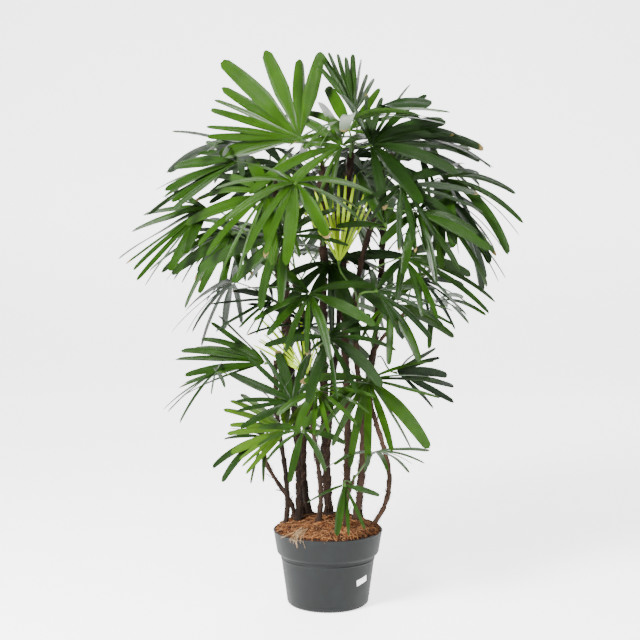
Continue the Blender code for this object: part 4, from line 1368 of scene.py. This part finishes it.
def make_straw(sizes):
    """Hang a few pale stalks of straw over the rim, front left."""
    draw = random.Random(SEED + 9)
    heap = Heap()
    for _ in range(sizes.straws):
        out = bearing_vector(draw.gauss(STRAW_BEARING, 4.5))
        along = UP.cross(out)
        lean = draw.uniform(-0.9, 0.9)
        start = out * draw.uniform(0.085, 0.125) + UP * (POT_HEIGHT + draw.uniform(0.012, 0.024))
        over = out * (RIM_RADIUS + 0.001) + UP * (POT_HEIGHT + 0.003) + along * (0.02 * lean)
        drop = draw.uniform(0.0, 0.024)
        end = out * (RIM_RADIUS + draw.uniform(0.0015, 0.006)) + UP * (POT_HEIGHT - drop)
        end += along * (0.04 * lean)
        curve = (start, over + UP * 0.007 - out * 0.012, over + out * 0.004, end)
        thick = draw.uniform(0.0004, 0.0010)
        rings = []
        for row, (place, heading, side) in enumerate(carried_along(curve, along, STRAW_ROWS)):
            radius = thick * (1.0 - 0.06 * row)
            rings.append(oval_ring(place, side, heading.cross(side), radius, radius, STRAW_SIDES))
        heap.add_rod(rings, [row / STRAW_ROWS for row in range(STRAW_ROWS + 1)])
    straw = heap.piece("rim_straw", mulch_material("straw", STRAW_COLOR))
    outward(straw)
    finish_piece(straw, "mulch")


# Strands scattered over a surface by Geometry Nodes


def strand_tree(name, finish, lying):
    """Build the node tree that scatters curved strands over a surface.

    Lying strands point any way along the surface. The others run up it and stand off it.
    """
    if lying:
        middle, end = (0.0, 0.22, 0.10), (0.5, 0.0, 0.04)
        low, high = (-0.5, -0.1, -math.pi), (0.5, 0.1, math.pi)
    else:
        middle, end = (0.0, 0.22, 0.0), (0.5, 0.0, 0.28)
        low, high = (0.0, -0.35, -0.5), (0.0, 0.0, 0.5)
    tree = bpy.data.node_groups.new(name, "GeometryNodeTree")
    kinds = {
        "Geometry": "Geometry", "Density": "Float", "Length": "Float", "Radius": "Float", "Seed": "Int"}
    for socket, kind in kinds.items():
        tree.interface.new_socket(socket, in_out="INPUT", socket_type=f"NodeSocket{kind}")
    tree.interface.new_socket("Geometry", in_out="OUTPUT", socket_type="NodeSocketGeometry")
    given = added(tree, "NodeGroupInput", {})

    points = added(tree, "GeometryNodeDistributePointsOnFaces", {
        "Mesh": given["Geometry"], "Density": given["Density"], "Seed": given["Seed"]})
    curve = added(tree, "GeometryNodeCurveQuadraticBezier", {
        "Resolution": 5, "Start": (-0.5, 0.0, 0.0), "Middle": middle, "End": end})
    whole = added(tree, "ShaderNodeCombineXYZ", {axis: given["Length"] for axis in ("X", "Y", "Z")})
    sized = added(tree, "GeometryNodeTransform", {"Geometry": curve["Curve"], "Scale": whole["Vector"]})
    ring = added(tree, "GeometryNodeCurvePrimitiveCircle", {"Resolution": 4, "Radius": given["Radius"]})
    strand = added(tree, "GeometryNodeCurveToMesh", {
        "Curve": sized["Geometry"], "Profile Curve": ring["Curve"], "Fill Caps": True})

    upright = added(
        tree, "FunctionNodeAlignRotationToVector",
        {"Rotation": points["Rotation"], "Vector": (0.0, 0.0, 1.0)}, axis="X", pivot_axis="Z")
    swing = added(
        tree, "FunctionNodeRandomValue", {"Min": low, "Max": high, "Seed": given["Seed"]},
        data_type="FLOAT_VECTOR")
    turned_by = added(tree, "FunctionNodeEulerToRotation", {"Euler": swing["Value"]})
    turn = added(
        tree, "FunctionNodeRotateRotation",
        {"Rotation": upright["Rotation"], "Rotate By": turned_by["Rotation"]}, rotation_space="LOCAL")
    growth = added(
        tree, "FunctionNodeRandomValue", {2: 0.45, 3: 1.35, "Seed": given["Seed"]}, data_type="FLOAT")

    placed = added(tree, "GeometryNodeInstanceOnPoints", {
        "Points": points["Points"], "Instance": strand["Mesh"], "Rotation": turn["Rotation"],
        "Scale": growth[1]})
    real = added(tree, "GeometryNodeRealizeInstances", {"Geometry": placed["Instances"]})
    painted = added(tree, "GeometryNodeSetMaterial", {"Geometry": real["Geometry"], "Material": finish})
    added(tree, "NodeGroupOutput", {"Geometry": painted["Geometry"]})
    return tree


def scattered(name, ground, finish, density, length, radius, lying, seed):
    """Return a plain mesh of strands scattered over a surface."""
    holder = new_object(name, ground.data.copy())
    modifier = holder.modifiers.new("strands", "NODES")
    modifier.node_group = strand_tree(f"{name}_tree", finish, lying)
    values = {"Density": float(density), "Length": length, "Radius": radius, "Seed": seed}
    for item in modifier.node_group.interface.items_tree:
        if item.name in values:
            modifier[item.identifier] = values[item.name]
    depsgraph = bpy.context.evaluated_depsgraph_get()
    mesh = bpy.data.meshes.new_from_object(holder.evaluated_get(depsgraph))
    holder.modifiers.clear()
    holder.data = mesh
    mesh.shade_smooth()
    return holder


# Canes


def cane_path(name, canes):
    """Return a cane's middle points and plain radii, from its foot to the top of its sheaths."""
    cane, curve = CANES[name], canes.curves[name]
    length = curve[3].z - curve[0].z
    steps = round(length / BARK_STEP)
    run = []
    for step in range(steps + 1):
        t = step / steps
        run.append((bezier(curve, t)[0], cane_radius(cane, curve, t)))
    run[0] = (run[0][0] - UP * CANE_SINKS, run[0][1])
    base, top = canes.axes[name]
    steps = round((top - base).length / BARK_STEP)
    for step in range(1, steps + 1):
        t = step / steps
        swell = SHEATH_SWELL if t > 0.25 else 1.0 + (SHEATH_SWELL - 1.0) * t / 0.25
        full = cane.tip_radius * swell
        run.append((base.lerp(top, t), full + (SHEATH_TOP_RADIUS - full) * max(0.0, (t - 0.25) / 0.75)))
    return run


def bark_relief(place, bearing, seed):
    """Return how far the bark stands out at a height and a bearing, as a share of the radius."""
    around = bearing_vector(bearing)
    ragged = noise.noise(Vector((around.x * 3.5, around.y * 3.5, seed * 7.0 + place.z * 9.0)))
    climb = (place.z + ragged * SLEEVE_RAGGED) / SLEEVE_LENGTH + seed * 0.37
    sleeve = climb - math.floor(climb)
    fibre = noise.noise(Vector((around.x * 6.0, around.y * 6.0, place.z * 30.0 + seed)))
    lump = noise.noise(place * 42.0)
    return BARK_LEVEL + SLEEVE_FLARE * sleeve ** 2 + FIBRE_RELIEF * fibre + LUMP_RELIEF * lump


def foot_swell(feet, place, bearing):
    """Return how far a cane stands out at a bearing, just below the feet of its single fronds."""
    swell = 0.0
    for foot, away in feet:
        below = (foot.z - place.z) / SWELL_LENGTH
        if -0.2 < below < 1.5:
            facing = max(0.0, math.cos(math.radians(bearing - away)))
            swell += SWELL * facing * math.exp(-(below - 0.15) ** 2 * 3.0)
    return swell


def make_canes(sizes):
    """Make the canes' bark with its sleeves, and the loose fibres and broken stubs on it."""
    canes, fronds = palm()
    feet = defaultdict(list)
    for node, grown in fronds:
        if not node.endswith("crown"):
            feet[grown.frond.cane].append((grown.curve[0], grown.frond.bearing))
    heap = Heap()
    bearings = [360 * side / BARK_SIDES for side in range(BARK_SIDES)]
    for index, name in enumerate(CANES):
        path = cane_path(name, canes)
        rings = []
        for centre, radius in path:
            ring = []
            for bearing in bearings:
                swell = foot_swell(feet[name], centre, bearing)
                reach = radius * bark_relief(centre, bearing, index) + swell
                ring.append(centre + bearing_vector(bearing) * reach)
            rings.append(ring)
        heap.add_rod(rings, [centre.z for centre, _ in path])
    piece = heap.piece("cane_bark", bark_material(tuple(sizes.color)))
    outward(piece)
    finish_piece(piece, "bark", list(CANES))
    fibres = scattered(
        "cane_fibres", piece, mulch_material("cane_fibre", FIBRE_COLOR), sizes.fibres,
        sizes.fibre_length, FIBRE_RADIUS, lying=False, seed=SEED)
    finish_piece(fibres, "bark")
    stubs = scattered(
        "cane_stubs", piece, mulch_material("cane_stub", STUB_COLOR), sizes.stubs,
        sizes.stub_length, STUB_RADIUS, lying=False, seed=SEED + 4)
    finish_piece(stubs, "bark")


# Leaves


def blade_outline(share):
    """Return the half width of a leaflet at a share of its length, as a share of its widest."""
    if share < BLADE_WIDEST:
        rise = share / BLADE_WIDEST
        return BLADE_BASE + (1.0 - BLADE_BASE) * rise * rise * (3 - 2 * rise)
    return 1.0 - (1.0 - BLADE_TIP) * ((share - BLADE_WIDEST) / (1.0 - BLADE_WIDEST)) ** 2.4


def blade_frames(hub, normal, leaflet, curl, roll):
    """Return the places, sideways and upward directions along a leaflet, as arrays."""
    places, sides, ups = [], [], []
    for station in range(BLADE_STATIONS):
        share = BLADE_REACH * station / (BLADE_STATIONS - 1)
        past = max(0.0, share - CURL_FROM)
        place, heading = leaflet_at(hub, leaflet, share)
        heading = (heading - UP * (2 * curl * past)).normalized()
        across = normal.cross(heading).normalized()
        across.rotate(Quaternion(heading, leaflet.twist * share + roll * min(1.0, 3 * share)))
        places.append(place - UP * (leaflet.length * curl * past ** 2))
        sides.append(across)
        ups.append(heading.cross(across))
    return np.array(places), np.array(sides), np.array(ups)


def sampled(table, shares):
    """Return the rows of a table of stations, interpolated at an array of shares."""
    at = np.clip(shares / BLADE_REACH * (BLADE_STATIONS - 1), 0, BLADE_STATIONS - 1.001)
    low = at.astype(int)
    part = (at - low)[..., None]
    return table[low] * (1 - part) + table[low + 1] * part


def add_blade(heap, grown, leaflet, room, sizes, draw, tip_only=False):
    """Add one leaflet: a thin pleated blade with a ragged blunt tip, or only its dry tip."""
    curl, roll = draw.uniform(*CURLS), draw.gauss(0.0, BLADE_ROLL)
    frames = blade_frames(grown.frond.hub, grown.blade[2], leaflet, curl, roll)
    dry_from = draw.uniform(*DRY_FROM)
    rows = DRY_ROWS if tip_only else BLADE_ROWS
    across = np.linspace(-1.0, 1.0, BLADE_COLUMNS)
    first = BLADE_STARTS / leaflet.length
    along = np.linspace(dry_from, 1.003, rows) if tip_only else (
        first + (1.0 - first) * np.linspace(0.0, 1.0, rows) ** 0.9)
    teeth = np.array([draw.uniform(0.0, TIP_TOOTH) for _ in across])
    cut = TIP_ROUNDING * np.abs(across) ** 2.6 + teeth
    shares = along[:, None] * (1.0 - cut[None, :] * along[:, None] ** 6)
    half = 0.5 * BLADE_BREADTH * leaflet.width * np.vectorize(blade_outline)(shares)
    half = np.minimum(half, BLADE_CROWDING * room * leaflet.length * shares + HUB_HALF)
    fold = sizes.fold * np.clip(1.0 - shares / FOLD_ENDS, 0.0, 1.0) ** 1.5
    fold += draw.uniform(*FOLD_KEPT)
    arch = draw.uniform(*ARCHES) * np.clip(shares * 2.0, 0.0, 1.0)
    pleat = sizes.pleat * (1.0 - 0.45 * shares) * np.cos(2 * math.pi * across)
    ripple = draw.uniform(-RIPPLE, RIPPLE) * np.sin(shares * draw.uniform(*RIPPLE_TURNS))
    rise = half * (fold * np.abs(across) - arch * across ** 2 + pleat + ripple)
    places, sides, ups = (sampled(table, shares) for table in frames)
    middle = places + sides * (across * half)[..., None] + ups * rise[..., None]
    thick = sizes.thickness * (DRY_THICKNESS if tip_only else 1.0)
    front = middle.copy()
    front[1:-1, 1:-1] += (ups * (thick / 2))[1:-1, 1:-1]
    back = middle - ups * (thick / 2)
    spots = np.stack([np.broadcast_to(across, shares.shape), shares], axis=-1)
    heap.add(sheet_rows(front, back), sheet_faces(rows, BLADE_COLUMNS), sheet_rows(spots, spots))


def leaflets_of(grown, shade, draw):
    """Yield a frond's leaflets with their room, some of them parted into two narrow ones."""
    up = grown.blade[2]
    parting = math.radians(grown.frond.spread / (grown.frond.leaflets - 1)) * PARTING
    parted = 1.0 if grown.frond.spread < YOUNG_SPREAD else PAIRED_LEAFLETS
    breadth = STRIP_WIDTH if shade == "lit" else PARTED_WIDTH
    for leaflet in grown.leaflets:
        if leaflet is None:
            continue
        if draw.random() > parted:
            yield leaflet, grown.room
            continue
        for side in (-1, 1):
            heading = (Quaternion(up, side * parting) @ leaflet.heading).normalized()
            yield leaflet._replace(
                heading=heading, side=up.cross(heading).normalized(), width=leaflet.width * breadth,
                length=leaflet.length * draw.uniform(0.93, 1.0),
                twist=leaflet.twist + side * draw.uniform(0.0, 0.3)), grown.room * PARTED_ROOM


def add_petiole(heap, grown):
    """Add a smooth petiole, with a blunt end under the leaflets."""
    forward, left, up = grown.blade
    across = UP.cross(bearing_vector(grown.frond.bearing))
    twist = petiole_twist(grown.curve, across, left, PETIOLE_ROWS)
    rings, along = [], []
    for row, (place, heading, side) in enumerate(carried_along(grown.curve, across, PETIOLE_ROWS)):
        t = row / PETIOLE_ROWS
        side = Quaternion(heading, twist * t) @ side
        wide = PETIOLE_HALF_WIDTH * (1.15 - 0.35 * t) * (1.5 if row == 0 else 1.0)
        deep = PETIOLE_DEPTH * 0.42 * (1.0 - 0.25 * t)
        rings.append(oval_ring(place, side, heading.cross(side), wide, deep, PETIOLE_SIDES))
        along.append(t)
    end = grown.frond.hub + forward * 0.004 - up * 0.001
    rings.append(oval_ring(end, left, up, 0.006, 0.0022, PETIOLE_SIDES))
    along.append(1.05)
    heap.add_rod(rings, along)


def shade_of(grown, draw):
    """Return a frond's set shade, or deal it one by its place: darker greens at the back and inside, as
    painted shade.
    """
    shown = (grown.frond.cane, grown.frond.up)
    if shown in SET_SHADES:
        return SET_SHADES[shown]
    hub = grown.frond.hub
    # Fronds deeper in and further back are dealt darker greens: painted shade
    depth = hub.y - 0.12 * (hub.z - 1.0)
    inner = depth > -0.04 or hub.z < LOW_FRONDS
    return draw.choice(BACK_SHADES if depth > 0.10 else INNER_SHADES if inner else FRONT_SHADES)


def make_leaves(sizes):
    """Make every frond's leaflets in their dealt shades, its petiole and its dry tips."""
    draw = random.Random(SEED + 5)
    heaps = defaultdict(Heap)
    nodes = defaultdict(set)
    tips = Heap()
    stalks = Heap()
    for node, grown in palm()[1]:
        shade = shade_of(grown, draw)
        nodes[shade].add(node)
        add_petiole(stalks, grown)
        for leaflet, room in leaflets_of(grown, shade, draw):
            seed = draw.random()
            # Most strips of a lit frond keep the lit shade, painted light coming through them
            dealt = "fresh" if shade == "lit" and draw.random() < SHADED_STRIPS else shade
            add_blade(heaps[dealt], grown, leaflet, room, sizes, random.Random(seed))
            if draw.random() < DRY_TIPS:
                add_blade(tips, grown, leaflet, room, sizes, random.Random(seed), tip_only=True)
    for name, heap in heaps.items():
        shade = SHADES[name]
        piece = heap.piece(f"leaves_{name}", leaf_material(f"leaf_{name}", shade.color, shade.roughness))
        finish_piece(piece, shade.slot, sorted(nodes[name]))
    stalk = stalks.piece("petioles", leaf_material("petiole_green", PETIOLE_COLOR, 0.45))
    finish_piece(stalk, "leaf_green")
    dry = tips.piece("dry_tips", leaf_material("leaf_dry", DRY_COLOR, 0.7))
    finish_piece(dry, "leaf_lime")


# Stage


def aimed(thing, place, aim):
    """Stand a light or the camera at a place and turn it towards another."""
    thing.location = place
    thing.rotation_euler = (Vector(aim) - Vector(place)).to_track_quat("-Z", "Y").to_euler()


def soft_light(name, place, aim, size, watts):
    """Add one large soft light."""
    lamp = bpy.data.lights.new(name, "AREA")
    lamp.shape = "SQUARE"
    lamp.size = size
    lamp.energy = watts
    aimed(new_object(name, lamp), place, aim)


def make_stage(sizes):
    """Lay the pale floor, set the lights and stand the camera at the photograph's place."""
    half = sizes.floor_size / 2
    straight = half - BACKDROP_BEND
    profile = [(-half, 0.0), (straight, 0.0)]
    for step in range(1, BEND_STEPS + 1):
        angle = math.pi / 2 * step / BEND_STEPS
        rise = BACKDROP_BEND - BACKDROP_BEND * math.cos(angle)
        profile.append((straight + BACKDROP_BEND * math.sin(angle), rise))
    profile.append((half, sizes.floor_size * 0.6))
    corners = [(side * half, y, z) for y, z in profile for side in (-1, 1)]
    faces = [(2 * row, 2 * row + 1, 2 * row + 3, 2 * row + 2) for row in range(len(profile) - 1)]
    floor = mesh_object("floor", corners, faces, floor_material(sizes.glow))
    floor.location.z = -0.0005
    world = bpy.data.worlds.new("studio")
    world.use_nodes = True
    sky = world.node_tree.nodes["Background"]
    sky.inputs["Color"].default_value = (1.0, 1.0, 1.0, 1.0)
    sky.inputs["Strength"].default_value = SKY
    bpy.context.scene.world = world
    for name, (place, height, size) in LIGHTS.items():
        soft_light(name, place, (0.0, 0.0, height), size, getattr(sizes, f"{name}_watts"))
    camera = new_object("camera", bpy.data.cameras.new("camera"))
    camera.data.lens = CAMERA_LENS
    camera.data.sensor_width = SENSOR_WIDTH
    aimed(camera, CAMERA_PLACE, CAMERA_AIM)
    bpy.context.scene.camera = camera


# Operators and panel


class PALM_OT_stage(bpy.types.Operator):
    """Lay the floor, light the scene and stand the camera."""

    bl_idname = "palm.stage"
    bl_label = "Stage"

    def execute(self, context):
        make_stage(context.scene.palm.stage)
        return {"FINISHED"}


class PALM_OT_pot(bpy.types.Operator):
    """Make the nursery pot."""

    bl_idname = "palm.pot"
    bl_label = "Pot"

    def execute(self, context):
        make_pot(context.scene.palm.pot)
        return {"FINISHED"}


class PALM_OT_label(bpy.types.Operator):
    """Make the blank label on the pot."""

    bl_idname = "palm.label"
    bl_label = "Label"

    def execute(self, context):
        make_label(context.scene.palm.pot)
        return {"FINISHED"}


class PALM_OT_heap(bpy.types.Operator):
    """Make the heaped potting mix and its strands."""

    bl_idname = "palm.heap"
    bl_label = "Potting mix"

    def execute(self, context):
        make_heap(context.scene.palm.mix)
        return {"FINISHED"}


class PALM_OT_straw(bpy.types.Operator):
    """Hang the straw over the pot's rim."""

    bl_idname = "palm.straw"
    bl_label = "Straw"

    def execute(self, context):
        make_straw(context.scene.palm.mix)
        return {"FINISHED"}


class PALM_OT_canes(bpy.types.Operator):
    """Make the canes' bark and fibres."""

    bl_idname = "palm.canes"
    bl_label = "Canes"

    def execute(self, context):
        make_canes(context.scene.palm.canes)
        return {"FINISHED"}


class PALM_OT_leaves(bpy.types.Operator):
    """Make the leaflets, petioles and dry tips."""

    bl_idname = "palm.leaves"
    bl_label = "Leaves"

    def execute(self, context):
        make_leaves(context.scene.palm.leaves)
        return {"FINISHED"}


OPERATORS = (
    PALM_OT_stage, PALM_OT_pot, PALM_OT_label, PALM_OT_heap, PALM_OT_straw, PALM_OT_canes, PALM_OT_leaves)


class PALM_PT_pieces(bpy.types.Panel):
    """Lists the pieces of the plant."""

    bl_idname = "PALM_PT_pieces"
    bl_label = "Potted lady palm"
    bl_space_type = "VIEW_3D"
    bl_region_type = "UI"
    bl_category = "Palm"

    def draw(self, context):
        for operator in OPERATORS:
            self.layout.operator(operator.bl_idname)
        sizes = context.scene.palm
        for group in (sizes.pot, sizes.mix, sizes.canes, sizes.leaves, sizes.stage):
            box = self.layout.box()
            for name in group.bl_rna.properties.keys():
                if name not in ("rna_type", "name"):
                    box.prop(group, name)


CLASSES = (PotSizes, MixSizes, CaneSizes, LeafSizes, StageSizes, PalmSizes, *OPERATORS, PALM_PT_pieces)


def register():
    """Register the classes and the scene's sizes."""
    for made in CLASSES:
        bpy.utils.register_class(made)
    bpy.types.Scene.palm = PointerProperty(type=PalmSizes)


def unregister():
    """Remove the scene's sizes and the classes."""
    del bpy.types.Scene.palm
    for made in reversed(CLASSES):
        bpy.utils.unregister_class(made)


def main():
    """Make every piece in order."""
    register()
    for operator in OPERATORS:
        group, name = operator.bl_idname.split(".")
        getattr(getattr(bpy.ops, group), name)()


if __name__ == "__main__":
    main()
